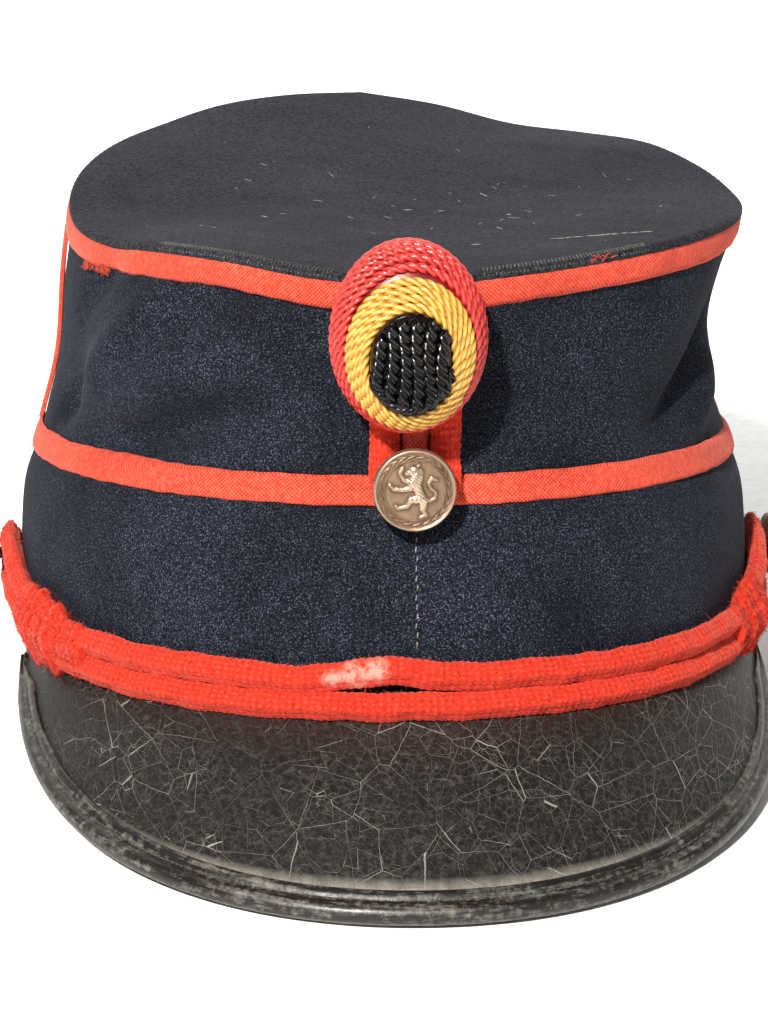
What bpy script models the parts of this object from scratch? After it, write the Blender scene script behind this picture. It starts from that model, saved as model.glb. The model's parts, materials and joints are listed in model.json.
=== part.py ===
"""A soldier's cloth kepi: wool band and crown, red tapes, corded cockade, buttons, chin cord and leather peak.

The cap's own frame has +Z up its height from the plane of the band's lower rim, its front at -Y and
its wearer's left at +X. Angles run round the cap from the front centre, positive towards +X.
All sizes are in metres. The whole cap hangs on one empty, which tips it back until the peak's front
edge and the back of the band stand on the table.
"""

import math

import bmesh
import bpy
from mathutils import Matrix, Vector

# Band: the stiff lower wall, measured on its outer face
BAND_HALF_WIDTH = 0.085
BAND_HALF_LENGTH = 0.1003
BAND_HEIGHT = 0.043
CLOTH = 0.0024
GAP = 0.0003

# Seam between band and crown
SEAM_HALF_WIDTH = 0.0805
SEAM_HALF_LENGTH = 0.0956
SEAM_SHIFT_Y = 0.0025

# Crown: the soft upper wall, which leans towards the wearer's left, and its sunken top
FRONT_HEIGHT = 0.086
BACK_HEIGHT = 0.121
TOP_HALF_WIDTH = 0.0758
TOP_HALF_LENGTH = 0.0916
TOP_SHIFT_X = 0.0046
TOP_SHIFT_Y = -0.005
TOP_SAG = 0.0055

# Red tapes on the seams
TAPE_WIDTH = 0.0060
TAPE_THICK = 0.0011
TOP_TAPE_DROP = 0.0010

# Peak: a bent leather sheet whose straight lines run forward and down
PEAK_LENGTH = 0.0478
PEAK_SLOPE = math.radians(36.3)
PEAK_END_ANGLE = 74.4
PEAK_SQUARENESS = 3.1
PEAK_SPLAY = 0.09
PEAK_SIDE_LIFT = 0.0048
PEAK_THICK = 0.0022
PEAK_BELLY = 0.0010
PEAK_SHORTEST = 0.0015
PEAK_SEAT = 0.0012
BINDING_WIDTH = 0.0046
BINDING_THICK = 0.0010
BINDING_BEAD = 0.0019

# Cockade: cords wound on an oval dome
COCKADE_HALF_WIDTH = 0.0153
COCKADE_HALF_HEIGHT = 0.0188
COCKADE_HEIGHT = 0.0755
COCKADE_X = -0.0022
COCKADE_DEPTH = 0.0160
COCKADE_NOD = math.radians(13)
CORD_RIDGE = 0.0005

# Braid loop and front button
LOOP_LEG_WIDTH = 0.0058
LOOP_THICK = 0.0022
LOOP_LENGTH = 0.0190
LOOP_TURN_DEPTH = 0.0067
LOOP_RISE = 0.0020
FRONT_BUTTON_HEIGHT = 0.0444
FRONT_BUTTON_X = -0.0007
FRONT_BUTTON_RADIUS = 0.0083
FRONT_BUTTON_THICK = 0.0036
RELIEF_HEIGHT = 0.00045

# Chin cord: one closed loop of woven cord round the two side buttons
CORD_TALL = 0.0056
CORD_THICK = 0.0046
CORD_REST_HEIGHT = 0.0036
CORD_SLACK = 0.0017
SIDE_BUTTON_ANGLE = 86.0
SIDE_BUTTON_HEIGHT = 0.0150
SIDE_BUTTON_RADIUS = 0.0072
SIDE_BUTTON_THICK = 0.0032
SHANK_RADIUS = 0.0014
SLIDE_ANGLE = 64.0
SLIDE_LENGTH = 0.0090
SLIDE_THICK = 0.0013

# Fineness of the faceted solids
WALL_STEPS = 48
PEAK_STEPS = 36
COCKADE_STEPS = 28
CORD_STEPS = 38
BUTTON_STEPS = 24

# Rise of the crown's upper rim, as a share of the way from its front height to its back height
RIM_RISE = (
    # angle, rise
    (-180, 1.00),
    (-165, 0.98),
    (-150, 0.91),
    (-135, 0.78),
    (-120, 0.66),
    (-105, 0.52),
    (-90, 0.36),
    (-75, 0.22),
    (-60, 0.15),
    (-45, 0.14),
    (-30, 0.11),
    (-15, 0.03),
    (0, 0.00),
    (15, 0.05),
    (30, 0.11),
    (45, 0.17),
    (60, 0.23),
    (75, 0.29),
    (90, 0.37),
    (105, 0.51),
    (120, 0.65),
    (135, 0.71),
    (150, 0.77),
    (165, 0.91),
    (180, 1.00),
)

# Flare of the band: 0 at the seam's size, 1 at the lower rim's size
BAND_FLARE = (
    # height, flare
    (0.0, 1.00),
    (0.3, 1.06),
    (0.55, 1.02),
    (0.8, 0.72),
    (1.0, 0.00),
)

# Dents and soft ridges of the crown. Height is a share of the crown wall; length, breadth and depth
# are shares of the top's half width; a ridge has a negative depth.
DENTS = (
    # angle, height, length, breadth, slant, depth
    (86, 0.42, 0.50, 0.240, 0, 0.090),
    (-92, 0.36, 0.45, 0.200, 0, 0.022),
    (-34, 0.24, 0.55, 0.095, 17, 0.030),
    (-46, 0.50, 0.50, 0.110, 20, -0.022),
    (-70, 0.36, 0.20, 0.110, 30, 0.030),
    (-40, 0.84, 0.50, 0.090, -4, 0.022),
    (58, 0.40, 0.26, 0.070, 50, 0.024),
    (34, 0.30, 0.40, 0.130, -12, 0.014),
    (150, 0.45, 0.60, 0.200, 10, 0.026),
    (-145, 0.55, 0.60, 0.180, -14, 0.024),
)

# Line of the chin cord: the middle between its two strands, as a share of the way up from its rest
# height to the side button, and half their spacing, as a share of the turn round the button
CORD_LINE = (
    # angle, climb, spread
    (0, 0.00, 0.0),
    (46, 0.00, 0.0),
    (56, 0.06, 0.0),
    (64, 0.20, 0.0),
    (72, 0.52, 0.12),
    (79, 0.82, 0.60),
    (86, 1.00, 1.0),
)

# Turned outlines: depth from the back as a share of the thickness, radius as a share of the rim's
COCKADE_RED = ((0.00, 0.90), (0.28, 1.00), (0.56, 0.90))
COCKADE_YELLOW = ((0.58, 0.83), (0.78, 0.62), (0.86, 0.56))
COCKADE_BLACK = ((0.88, 0.52), (0.96, 0.32), (1.00, 0.0))
RED_TURNS = 5
YELLOW_TURNS = 4
BUTTON_OUTLINE = ((0.0, 0.80), (0.20, 0.97), (0.46, 1.0), (0.66, 0.96), (0.62, 0.88), (0.76, 0.74), (0.88, 0.40), (0.92, 0.0))

# Outline of the raised lion, as shares of the front button's radius, anticlockwise from the tail
LION = (
    # across, up
    (0.10, -0.62),
    (0.34, -0.58),
    (0.30, -0.46),
    (0.22, -0.44),
    (0.28, -0.24),
    (0.42, -0.34),
    (0.52, -0.18),
    (0.46, 0.06),
    (0.58, 0.10),
    (0.62, -0.02),
    (0.70, 0.08),
    (0.58, 0.22),
    (0.38, 0.14),
    (0.40, -0.10),
    (0.28, -0.06),
    (0.30, 0.14),
    (0.36, 0.36),
    (0.24, 0.58),
    (0.06, 0.60),
    (0.00, 0.48),
    (-0.06, 0.42),
    (0.04, 0.34),
    (-0.06, 0.24),
    (-0.18, 0.30),
    (-0.20, 0.50),
    (-0.32, 0.52),
    (-0.30, 0.22),
    (-0.16, 0.12),
    (-0.36, 0.04),
    (-0.58, 0.16),
    (-0.62, 0.04),
    (-0.38, -0.10),
    (-0.08, -0.06),
    (-0.02, -0.20),
    (-0.14, -0.28),
    (-0.16, -0.44),
    (-0.42, -0.42),
    (-0.42, -0.54),
    (-0.06, -0.56),
    (0.06, -0.42),
)


def table_value(rows, place, column=1):
    """Smooth value of a table's column at a place along its first column."""
    if place <= rows[0][0]:
        return rows[0][column]
    for low, high in zip(rows, rows[1:]):
        if place <= high[0]:
            share = (place - low[0]) / (high[0] - low[0])
            share = share * share * (3 - 2 * share)
            return low[column] + (high[column] - low[column]) * share
    return rows[-1][column]


def mix(low, high, share):
    return low + (high - low) * share


def oval(angle, half_width, half_length, centre, height, offset):
    """Point on an oval round the cap, moved out by an offset, and the oval's outward direction."""
    turn = math.radians(angle)
    out = Vector((half_length * math.sin(turn), -half_width * math.cos(turn), 0)).normalized()
    place = Vector((half_width * math.sin(turn), -half_length * math.cos(turn), height))
    return place + centre + out * offset, out


def band_point(angle, share, offset=0.0):
    """Point of the band's outer face, moved out by an offset. Share is 0 at the rim and 1 at the seam."""
    flare = table_value(BAND_FLARE, share)
    return oval(
        angle,
        mix(SEAM_HALF_WIDTH, BAND_HALF_WIDTH, flare),
        mix(SEAM_HALF_LENGTH, BAND_HALF_LENGTH, flare),
        Vector((0, SEAM_SHIFT_Y * share, 0)),
        BAND_HEIGHT * share,
        offset,
    )


def band_at_height(angle, height, offset=0.0):
    return band_point(angle, max(0.0, height) / BAND_HEIGHT, offset)


def rim_height(angle):
    """Height of the crown's upper rim at an angle."""
    wrapped = (angle + 180) % 360 - 180
    return mix(FRONT_HEIGHT, BACK_HEIGHT, table_value(RIM_RISE, wrapped))


def dent_depth(angle, share):
    """How far the crown's wall is pushed in, which fades out at its seam and at its rim."""
    total = 0.0
    for centre, height, length, breadth, slant, depth in DENTS:
        away = (angle - centre + 180) % 360 - 180
        along = math.radians(away) * TOP_HALF_WIDTH
        up = (share - height) * (rim_height(angle) - BAND_HEIGHT)
        tip = math.radians(slant)
        run = (along * math.cos(tip) + up * math.sin(tip)) / (length * TOP_HALF_WIDTH)
        rise = (up * math.cos(tip) - along * math.sin(tip)) / (breadth * TOP_HALF_WIDTH)
        total += depth * TOP_HALF_WIDTH * math.exp(-run * run - rise * rise)
    return total * (1 - (2 * share - 1) ** 6)


def crown_point(angle, share, offset=0.0):
    """Point of the crown's outer face, moved out by an offset. Share is 0 at the seam and 1 at the rim."""
    half_width = mix(SEAM_HALF_WIDTH, TOP_HALF_WIDTH, share)
    shift = TOP_SHIFT_X * share
    upright = math.degrees(math.asin(shift / half_width)) * math.cos(math.radians(angle))
    return oval(
        angle - upright,
        half_width,
        mix(SEAM_HALF_LENGTH, TOP_HALF_LENGTH, share),
        Vector((shift, mix(SEAM_SHIFT_Y, TOP_SHIFT_Y, share), 0)),
        mix(BAND_HEIGHT, rim_height(angle), share),
        offset - dent_depth(angle, share),
    )


def crown_share(angle, height):
    """Share of the crown's wall at a height."""
    return (height - BAND_HEIGHT) / (rim_height(angle) - BAND_HEIGHT)


def material(name, colour, roughness, metallic=0.0):
    made = bpy.data.materials.new(name)
    made.use_nodes = True
    shader = made.node_tree.nodes["Principled BSDF"]
    shader.inputs["Base Color"].default_value = (*colour, 1.0)
    shader.inputs["Roughness"].default_value = roughness
    shader.inputs["Metallic"].default_value = metallic
    return made


def new_object(name, points, faces, finish, frame, sharp=40):
    """A named object from points and faces, shaded smooth but for its corners, carried by the cap's frame."""
    mesh = bpy.data.meshes.new(name)
    mesh.from_pydata([tuple(p) for p in points], [], faces)
    shape = bmesh.new()
    shape.from_mesh(mesh)
    bmesh.ops.recalc_face_normals(shape, faces=shape.faces)
    shape.to_mesh(mesh)
    shape.free()
    mesh.shade_smooth()
    mesh.set_sharp_from_angle(angle=math.radians(sharp))
    mesh.materials.append(finish)
    made = bpy.data.objects.new(name, mesh)
    bpy.context.scene.collection.objects.link(made)
    made.parent = frame
    return made


def bridged(rings, closed_along, caps):
    """Faces between rings of equal length. Each ring is closed; the run of rings may be closed too."""
    count, size = len(rings), len(rings[0])
    points = [p for ring in rings for p in ring]
    faces = []
    for i in range(count if closed_along else count - 1):
        here, there = i * size, (i + 1) % count * size
        for j in range(size):
            k = (j + 1) % size
            faces.append((here + j, here + k, there + k, there + j))
    if caps:
        faces.append(tuple(range(size)))
        faces.append(tuple((count - 1) * size + j for j in range(size)))
    return points, faces


def swept(name, stations, section, finish, frame, closed=False):
    """A section, in side and out, carried along stations of point, side direction and out direction."""
    rings = [[p + side * s + out * o for s, o in section] for p, side, out in stations]
    points, faces = bridged(rings, closed, not closed)
    return new_object(name, points, faces, finish, frame)


def turned(name, outline, half_width, half_height, steps, finish, frame, wedge=0.0):
    """An oval turned solid on the local -Y axis. The outline gives depth and radius share, back to front.

    A wedge is the tangent of the angle by which the back falls away from square, from its foot up.
    """
    rings = []
    tip = outline[-1][1] < 1e-6
    for depth, radius in outline[: -1 if tip else None]:
        ring = []
        for i in range(steps):
            turn = math.tau * i / steps
            x = half_width * radius * math.sin(turn)
            z = half_height * radius * math.cos(turn)
            back = 0.0 if rings else wedge * (half_height + z)
            ring.append(Vector((x, back - depth, z)))
        rings.append(ring)
    points, faces = bridged(rings, False, not tip)
    if tip:
        faces.append(tuple(range(steps)))
        last = (len(rings) - 1) * steps
        points.append(Vector((0, -outline[-1][0], 0)))
        for j in range(steps):
            faces.append((last + j, last + (j + 1) % steps, len(points) - 1))
    return new_object(name, points, faces, finish, frame)


def wall_angles():
    return [360 * i / WALL_STEPS - 180 for i in range(WALL_STEPS)]


def tape_rows():
    """Half the seam tape's width, as shares of the band's height."""
    return TAPE_WIDTH / 2 / BAND_HEIGHT


def build_band(finish, frame):
    """The stiff lower wall, open above and below."""
    shares = [0.0, 0.3, 0.55, 0.8, 1 - tape_rows(), 1 - GAP / BAND_HEIGHT / 2]
    rings = []
    for angle in wall_angles():
        outer = [band_point(angle, s)[0] for s in shares]
        inner = [band_point(angle, s, -CLOTH)[0] for s in reversed(shares)]
        rings.append(outer + inner)
    points, faces = bridged(rings, True, False)
    return new_object("band", points, faces, finish, frame)


def crown_shares(angle):
    """Rows of the crown's wall, with rows of their own at the edges of the two tapes."""
    height = rim_height(angle) - BAND_HEIGHT
    low = TAPE_WIDTH / 2 / height
    high = 1 - (TOP_TAPE_DROP + TAPE_WIDTH) / height
    middle = [mix(low, high, s) for s in (0.16, 0.33, 0.5, 0.67, 0.84)]
    return [GAP / height / 2, low, *middle, high, 1 - (CLOTH + 3 * GAP) / height]


def build_crown(finish, frame):
    """The soft upper wall with its dents."""
    rings = []
    for angle in wall_angles():
        shares = crown_shares(angle)
        outer = [crown_point(angle, s)[0] for s in shares]
        inner = [crown_point(angle, s, -CLOTH)[0] for s in reversed(shares)]
        rings.append(outer + inner)
    points, faces = bridged(rings, True, False)
    return new_object("crown", points, faces, finish, frame)


def top_point(angle, share, drop=0.0):
    """Point of the top's upper face, from its centre at share 0 to the rim at share 1."""
    rim = crown_point(angle, 1.0)[0]
    centre = Vector((TOP_SHIFT_X, TOP_SHIFT_Y, 0))
    flat = centre + (rim - centre) * share
    tilt = (BACK_HEIGHT - FRONT_HEIGHT) / (2 * TOP_HALF_LENGTH)
    level = mix(FRONT_HEIGHT, BACK_HEIGHT, 0.5)
    plane = level + (flat.y - TOP_SHIFT_Y) * tilt
    rim_plane = level + (rim.y - TOP_SHIFT_Y) * tilt
    height = plane + (rim.z - rim_plane) * share**2 - TOP_SAG * (1 - share**2) ** 1.5
    return Vector((flat.x, flat.y, height - drop))


def build_top(finish, frame):
    """The sunken top, a sheet that reaches out over the crown's wall."""
    shares = (0.25, 0.5, 0.72, 0.9, 0.985)
    points = [top_point(0, 0), top_point(0, 0, CLOTH)]
    for angle in wall_angles():
        points += [top_point(angle, s) for s in shares]
        edge = top_point(angle, 1.0)
        points.append(edge - Vector((0, 0, CLOTH * 0.45)))
        points += [top_point(angle, s, CLOTH) for s in (0.997, *reversed(shares[:-1]))]
    size = len(shares) * 2 + 1
    faces = []
    for i in range(WALL_STEPS):
        here, there = 2 + i * size, 2 + (i + 1) % WALL_STEPS * size
        faces.append((0, here, there))
        faces.append((1, there + size - 1, here + size - 1))
        for j in range(size - 1):
            faces.append((here + j, here + j + 1, there + j + 1, there + j))
    return new_object("top", points, faces, finish, frame)


def tape_ring(name, faces_at, finish, frame):
    """A tape round the cap. faces_at gives, for an angle, the rows of points it lies on, low to high."""
    rings = []
    for angle in wall_angles():
        inner = faces_at(angle, GAP)
        outer = faces_at(angle, GAP + TAPE_THICK)
        rings.append(inner + outer[::-1])
    points, faces = bridged(rings, True, False)
    return new_object(name, points, faces, finish, frame)


def seam_rows(angle, offset):
    """Rows over the seam between band and crown."""
    height = rim_height(angle) - BAND_HEIGHT
    return [
        band_point(angle, 1 - tape_rows(), offset)[0],
        band_point(angle, 1.0, offset)[0],
        crown_point(angle, TAPE_WIDTH / 2 / height, offset)[0],
    ]


def top_rows(angle, offset):
    """Rows under the rim."""
    height = rim_height(angle) - BAND_HEIGHT
    high = 1 - TOP_TAPE_DROP / height
    return [crown_point(angle, high - TAPE_WIDTH / height, offset)[0], crown_point(angle, high, offset)[0]]


def upright_rows(angle, offset):
    """Rows up the crown between the seam tape and the top tape."""
    height = rim_height(angle) - BAND_HEIGHT
    low = (TAPE_WIDTH / 2 + GAP) / height
    high = 1 - (TOP_TAPE_DROP + TAPE_WIDTH + GAP) / height
    return [crown_point(angle, mix(low, high, i / 6), offset)[0] for i in range(7)]


def build_upright_tape(name, centre, finish, frame):
    """A tape up the crown between the seam tape and the top tape, lying on the wall's facets."""
    sheets = []
    for offset in (GAP, GAP + TAPE_THICK):
        middle = upright_rows(centre, offset)
        sides = []
        for way in (-1, 1):
            column = upright_rows(centre + way * 360 / WALL_STEPS, offset)
            share = TAPE_WIDTH / 2 / (column[0] - middle[0]).length
            sides.append([m.lerp(c, share) for m, c in zip(middle, column)])
        sheets.append((sides[0], middle, sides[1]))
    inner, outer = sheets
    rings = []
    for i in range(len(inner[0])):
        rings.append([line[i] for line in inner] + [line[i] for line in reversed(outer)])
    points, faces = bridged(rings, False, True)
    return new_object(name, points, faces, finish, frame)


def ridged(outline, turns):
    """The outline with one ridge for each turn of cord laid along it."""
    made = [outline[0]]
    for i in range(turns):
        for part, lift in ((0.5, CORD_RIDGE), (1.0, 0.0)):
            place = (i + part) / turns * (len(outline) - 1)
            index = min(int(place), len(outline) - 2)
            low, high = outline[index], outline[index + 1]
            share = place - index
            made.append((mix(low[0], high[0], share), mix(low[1], high[1], share) + lift / COCKADE_HALF_WIDTH))
    return made


def cockade_frame(frame):
    """An empty at the cockade's back, nodding forward from its foot, clear of the braid loop and the top tape."""
    foot_height = COCKADE_HEIGHT - COCKADE_HALF_HEIGHT
    lifted = 2 * GAP + LOOP_THICK + TAPE_THICK
    foot = crown_point(0, crown_share(0, foot_height), lifted)[0]
    rim = crown_point(0, 1, GAP + TAPE_THICK + GAP)[0]
    empty = bpy.data.objects.new("cockade_frame", None)
    bpy.context.scene.collection.objects.link(empty)
    empty.parent = frame
    reach = COCKADE_HALF_HEIGHT * math.sin(COCKADE_NOD)
    empty.location = (COCKADE_X, min(foot.y, rim.y) - reach, COCKADE_HEIGHT)
    empty.rotation_euler = (COCKADE_NOD, 0, 0)
    return empty


def build_cockade(finishes, frame):
    """Red and yellow cords wound round an oval dome, and black cords laid upright over its crown."""
    holder = cockade_frame(frame)
    sizes = (COCKADE_HALF_WIDTH, COCKADE_HALF_HEIGHT, COCKADE_STEPS)
    parts = (
        ("cockade_red", ridged(COCKADE_RED, RED_TURNS), math.tan(COCKADE_NOD)),
        ("cockade_yellow", ridged(COCKADE_YELLOW, YELLOW_TURNS), 0.0),
        ("cockade_black", COCKADE_BLACK, 0.0),
    )
    for name, outline, wedge in parts:
        real = [(depth * COCKADE_DEPTH, radius) for depth, radius in outline]
        turned(name, real, *sizes, finishes[name], holder, wedge)


def loop_stations():
    """The braid loop's line: down one side of the front tape, round behind the button and up the other."""
    across = TAPE_WIDTH / 2 + GAP + LOOP_LEG_WIDTH / 2
    foot = FRONT_BUTTON_HEIGHT + LOOP_RISE
    leg = [(-across, foot + LOOP_LENGTH * (1 - i / 6)) for i in range(6)]
    turn = []
    for i in range(13):
        sweep = math.pi * i / 12
        turn.append((-across * math.cos(sweep), foot - LOOP_TURN_DEPTH * math.sin(sweep)))
    line = leg + turn + [(-x, z) for x, z in reversed(leg)]
    stations = []
    for i, (x, z) in enumerate(line):
        before, after = line[max(i - 1, 0)], line[min(i + 1, len(line) - 1)]
        along = Vector((after[0] - before[0], 0, after[1] - before[1])).normalized()
        angle = math.degrees(math.asin(x / SEAM_HALF_WIDTH))
        on_tape = min(1.0, max(0.0, (BAND_HEIGHT + TAPE_WIDTH - z) / LOOP_RISE))
        lifted = 2 * GAP + (TAPE_THICK + GAP) * on_tape
        if z >= BAND_HEIGHT:
            place, out = crown_point(angle, crown_share(angle, z), lifted)
        else:
            place, out = band_at_height(angle, z, lifted)
        stations.append((place, out.cross(along).normalized(), out))
    return stations


def build_loop(finish, frame):
    half = LOOP_LEG_WIDTH / 2
    section = (
        (-half, LOOP_THICK * 0.1),
        (-half, LOOP_THICK * 0.6),
        (-half * 0.6, LOOP_THICK),
        (half * 0.6, LOOP_THICK),
        (half, LOOP_THICK * 0.6),
        (half, LOOP_THICK * 0.1),
    )
    return swept("braid_loop", loop_stations(), section, finish, frame)


def button_outline(radius, thick, shank):
    """A domed button with a rolled rim on a shank that reaches back to the cap."""
    stem = SHANK_RADIUS / radius
    outline = [(0.0, stem), (shank, stem)]
    return outline + [(shank + depth * thick, share) for depth, share in BUTTON_OUTLINE]


def build_front_button(finish, frame):
    """The button on the seam tape, which holds the braid loop's turn behind it."""
    lifted = GAP + TAPE_THICK + GAP
    seat = band_at_height(0, BAND_HEIGHT - SHANK_RADIUS, lifted)[0]
    seat.x = FRONT_BUTTON_X
    seat.z = FRONT_BUTTON_HEIGHT
    radius = FRONT_BUTTON_RADIUS
    foremost = seat.y
    for place, side, out in loop_stations():
        for edge in (-LOOP_LEG_WIDTH / 2, LOOP_LEG_WIDTH / 2):
            face = place + side * edge + out * LOOP_THICK
            if abs(face.z - seat.z) < radius:
                foremost = min(foremost, face.y)
    shank = seat.y - foremost + GAP
    outline = button_outline(radius, FRONT_BUTTON_THICK, shank)
    made = turned("front_button", outline, radius, radius, BUTTON_STEPS + 8, finish, frame)
    made.location = seat
    lion = build_lion(finish, frame, outline[-1][0])
    lion.location = seat
    join = made.modifiers.new("lion", "BOOLEAN")
    join.operation = "UNION"
    join.solver = "EXACT"
    join.object = lion
    return made


def build_lion(finish, frame, face):
    """The raised lion, a flat relief that reaches back into the button's face."""
    count = len(LION)
    points = []
    for depth in (face - FRONT_BUTTON_THICK * 0.3, face + RELIEF_HEIGHT):
        points += [Vector((x * FRONT_BUTTON_RADIUS, -depth, z * FRONT_BUTTON_RADIUS)) for x, z in LION]
    faces = [tuple(range(count)), tuple(range(count, 2 * count))]
    faces += [(i, (i + 1) % count, (i + 1) % count + count, i + count) for i in range(count)]
    lion = new_object("lion_relief", points, faces, finish, frame)
    lion.hide_render = True
    lion.hide_viewport = True
    return lion


def cord_spot(angle, height, offset):
    """Point and outward direction of the chin cord's middle, clear of the band."""
    return band_at_height(angle, height, offset)


def cord_line():
    """The closed line of the chin cord in angle and height: lower strand, right turn, upper strand, left turn."""
    arc = math.radians(1) * (BAND_HALF_WIDTH + BAND_HALF_LENGTH) / 2
    parallel = (CORD_TALL + GAP) / 2
    turn = CORD_TALL / 2 + SHANK_RADIUS + GAP
    climb = SIDE_BUTTON_HEIGHT - CORD_REST_HEIGHT
    strand = []
    for i in range(CORD_STEPS + 1):
        angle = SIDE_BUTTON_ANGLE * math.sin(math.pi / 2 * (2 * i / CORD_STEPS - 1))
        height = CORD_REST_HEIGHT + climb * table_value(CORD_LINE, abs(angle), 1)
        half = mix(parallel, turn, table_value(CORD_LINE, abs(angle), 2))
        strand.append((angle, height, half))
    lower, upper = [], []
    for i, (angle, height, half) in enumerate(strand):
        before, after = strand[max(i - 1, 0)], strand[min(i + 1, len(strand) - 1)]
        run = (after[0] - before[0]) * arc
        rise = after[1] - before[1]
        length = math.hypot(run, rise)
        slack = CORD_SLACK * math.exp(-(((angle + 3) / 7) ** 2))
        lower.append((angle + half * rise / length / arc, height - half * run / length))
        upper.append((angle - half * rise / length / arc, height + half * run / length + slack))
    turns = []
    for side in (1, -1):
        end, height, half = strand[-1] if side > 0 else strand[0]
        first = lower[-1] if side > 0 else upper[0]
        start = math.atan2((first[1] - height), (first[0] - end) * arc)
        for i in range(1, 6):
            sweep = start + math.pi * i / 6
            turns.append((end + half * math.cos(sweep) / arc, height + half * math.sin(sweep)))
    return lower + turns[:5] + upper[::-1] + turns[5:]


def cord_stations():
    """Stations of the chin cord, with its section standing square to its run on the band."""
    line = cord_line()
    spots = [cord_spot(a, h, GAP + CORD_THICK / 2) for a, h in line]
    stations = []
    for i, (place, out) in enumerate(spots):
        along = (spots[(i + 1) % len(spots)][0] - spots[i - 1][0]).normalized()
        stations.append((place, out.cross(along).normalized(), out))
    return stations


def build_chin_cord(finish, frame):
    section = []
    for i in range(8):
        turn = math.tau * (i + 0.5) / 8
        section.append((CORD_TALL / 2 * math.cos(turn), CORD_THICK / 2 * math.sin(turn)))
    return swept("chin_cord", cord_stations(), section, finish, frame, closed=True)


def build_slide(name, side, finish, frame):
    """A woven cover folded over both strands of the chin cord, open at the back."""
    arc = math.radians(1) * (BAND_HALF_WIDTH + BAND_HALF_LENGTH) / 2
    climb = SIDE_BUTTON_HEIGHT - CORD_REST_HEIGHT
    stations = []
    for i in range(5):
        angle = SLIDE_ANGLE + SLIDE_LENGTH / arc * (i / 4 - 0.5)
        height = CORD_REST_HEIGHT + climb * table_value(CORD_LINE, angle, 1)
        stations.append(cord_spot(side * angle, height, 0.0))
    made = []
    for i, (place, out) in enumerate(stations):
        before, after = stations[max(i - 1, 0)][0], stations[min(i + 1, 4)][0]
        along = (after - before).normalized()
        made.append((place, out.cross(along).normalized(), out))
    inner_half = CORD_TALL + GAP * 2
    inner_out = GAP + CORD_THICK + GAP
    low = CORD_THICK * 0.45
    section = (
        (-inner_half, low),
        (-inner_half, inner_out * 0.86),
        (-inner_half * 0.82, inner_out),
        (inner_half * 0.82, inner_out),
        (inner_half, inner_out * 0.86),
        (inner_half, low),
        (inner_half + SLIDE_THICK, low),
        (inner_half + SLIDE_THICK, inner_out * 0.9),
        (inner_half * 0.84, inner_out + SLIDE_THICK),
        (-inner_half * 0.84, inner_out + SLIDE_THICK),
        (-inner_half - SLIDE_THICK, inner_out * 0.9),
        (-inner_half - SLIDE_THICK, low),
    )
    return swept(name, made, section, finish, frame)


def build_side_button(name, side, finish, frame):
    """A button on the band's side, with the chin cord's turn behind it."""
    seat, out = band_at_height(side * SIDE_BUTTON_ANGLE, SIDE_BUTTON_HEIGHT, GAP)
    outline = button_outline(SIDE_BUTTON_RADIUS, SIDE_BUTTON_THICK, CORD_THICK + 2 * GAP)
    made = turned(name, outline, SIDE_BUTTON_RADIUS, SIDE_BUTTON_RADIUS, BUTTON_STEPS, finish, frame)
    made.location = seat
    made.rotation_euler = (0, 0, math.atan2(out.x, -out.y))
    return made


def peak_angles():
    """Angles across the peak, closer together towards its two ends."""
    steps = range(PEAK_STEPS + 1)
    return [PEAK_END_ANGLE * math.sin(math.pi / 2 * (2 * i / PEAK_STEPS - 1)) for i in steps]


def peak_reach(angle):
    """Length of the peak's sheet along its straight line at an angle."""
    shape = 1 - (abs(angle) / PEAK_END_ANGLE) ** PEAK_SQUARENESS
    return max(PEAK_SHORTEST, PEAK_LENGTH * math.sqrt(max(0.0, shape)))


def peak_point(angle, share):
    """Middle of the sheet's thickness, from the band's outer face at share 0 to the edge at share 1."""
    turn = math.sin(math.radians(angle))
    start = band_point(angle, 0.0)[0] - Vector((0, 0, PEAK_SEAT + PEAK_THICK / 2))
    reach = peak_reach(angle) * share
    fullness = peak_reach(angle) / PEAK_LENGTH
    belly = PEAK_BELLY * fullness * math.sin(math.pi * share)
    lift = PEAK_SIDE_LIFT * turn**2 * math.sqrt(fullness) * share
    drop = reach * math.sin(PEAK_SLOPE) - lift - belly
    return start + Vector((PEAK_SPLAY * reach * turn, -reach * math.cos(PEAK_SLOPE), -drop))


def peak_normal(angle, share):
    """Upward direction square to the sheet."""
    step = 0.5
    across = peak_point(angle + step, share) - peak_point(angle - step, share)
    near, far = (share - 0.05, share) if share > 0.5 else (share, share + 0.05)
    along = peak_point(angle, far) - peak_point(angle, near)
    if abs(angle) > PEAK_END_ANGLE - step:
        across = band_point(angle + step, 0.0)[0] - band_point(angle - step, 0.0)[0]
    normal = across.cross(-along).normalized()
    return -normal if normal.z < 0 else normal


def build_peak(finish, frame):
    """The bent sheet, with a flange that reaches in under the band's rim."""
    shares = (0.06, 0.2, 0.4, 0.6, 0.8, 1.0)
    half = PEAK_THICK / 2
    rings = []
    for angle in peak_angles():
        flange = band_point(angle, 0.0, -CLOTH)[0] - Vector((0, 0, PEAK_SEAT + half))
        fold = band_point(angle, 0.0)[0] - Vector((0, 0, PEAK_SEAT + half))
        up = Vector((0, 0, half))
        upper = [flange + up, fold + up]
        lower = [flange - up, fold - up]
        for share in shares:
            place, normal = peak_point(angle, share), peak_normal(angle, share)
            upper.append(place + normal * half)
            lower.append(place - normal * half)
        rings.append(upper + lower[::-1])
    points, faces = bridged(rings, False, True)
    return new_object("peak", points, faces, finish, frame)


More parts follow.
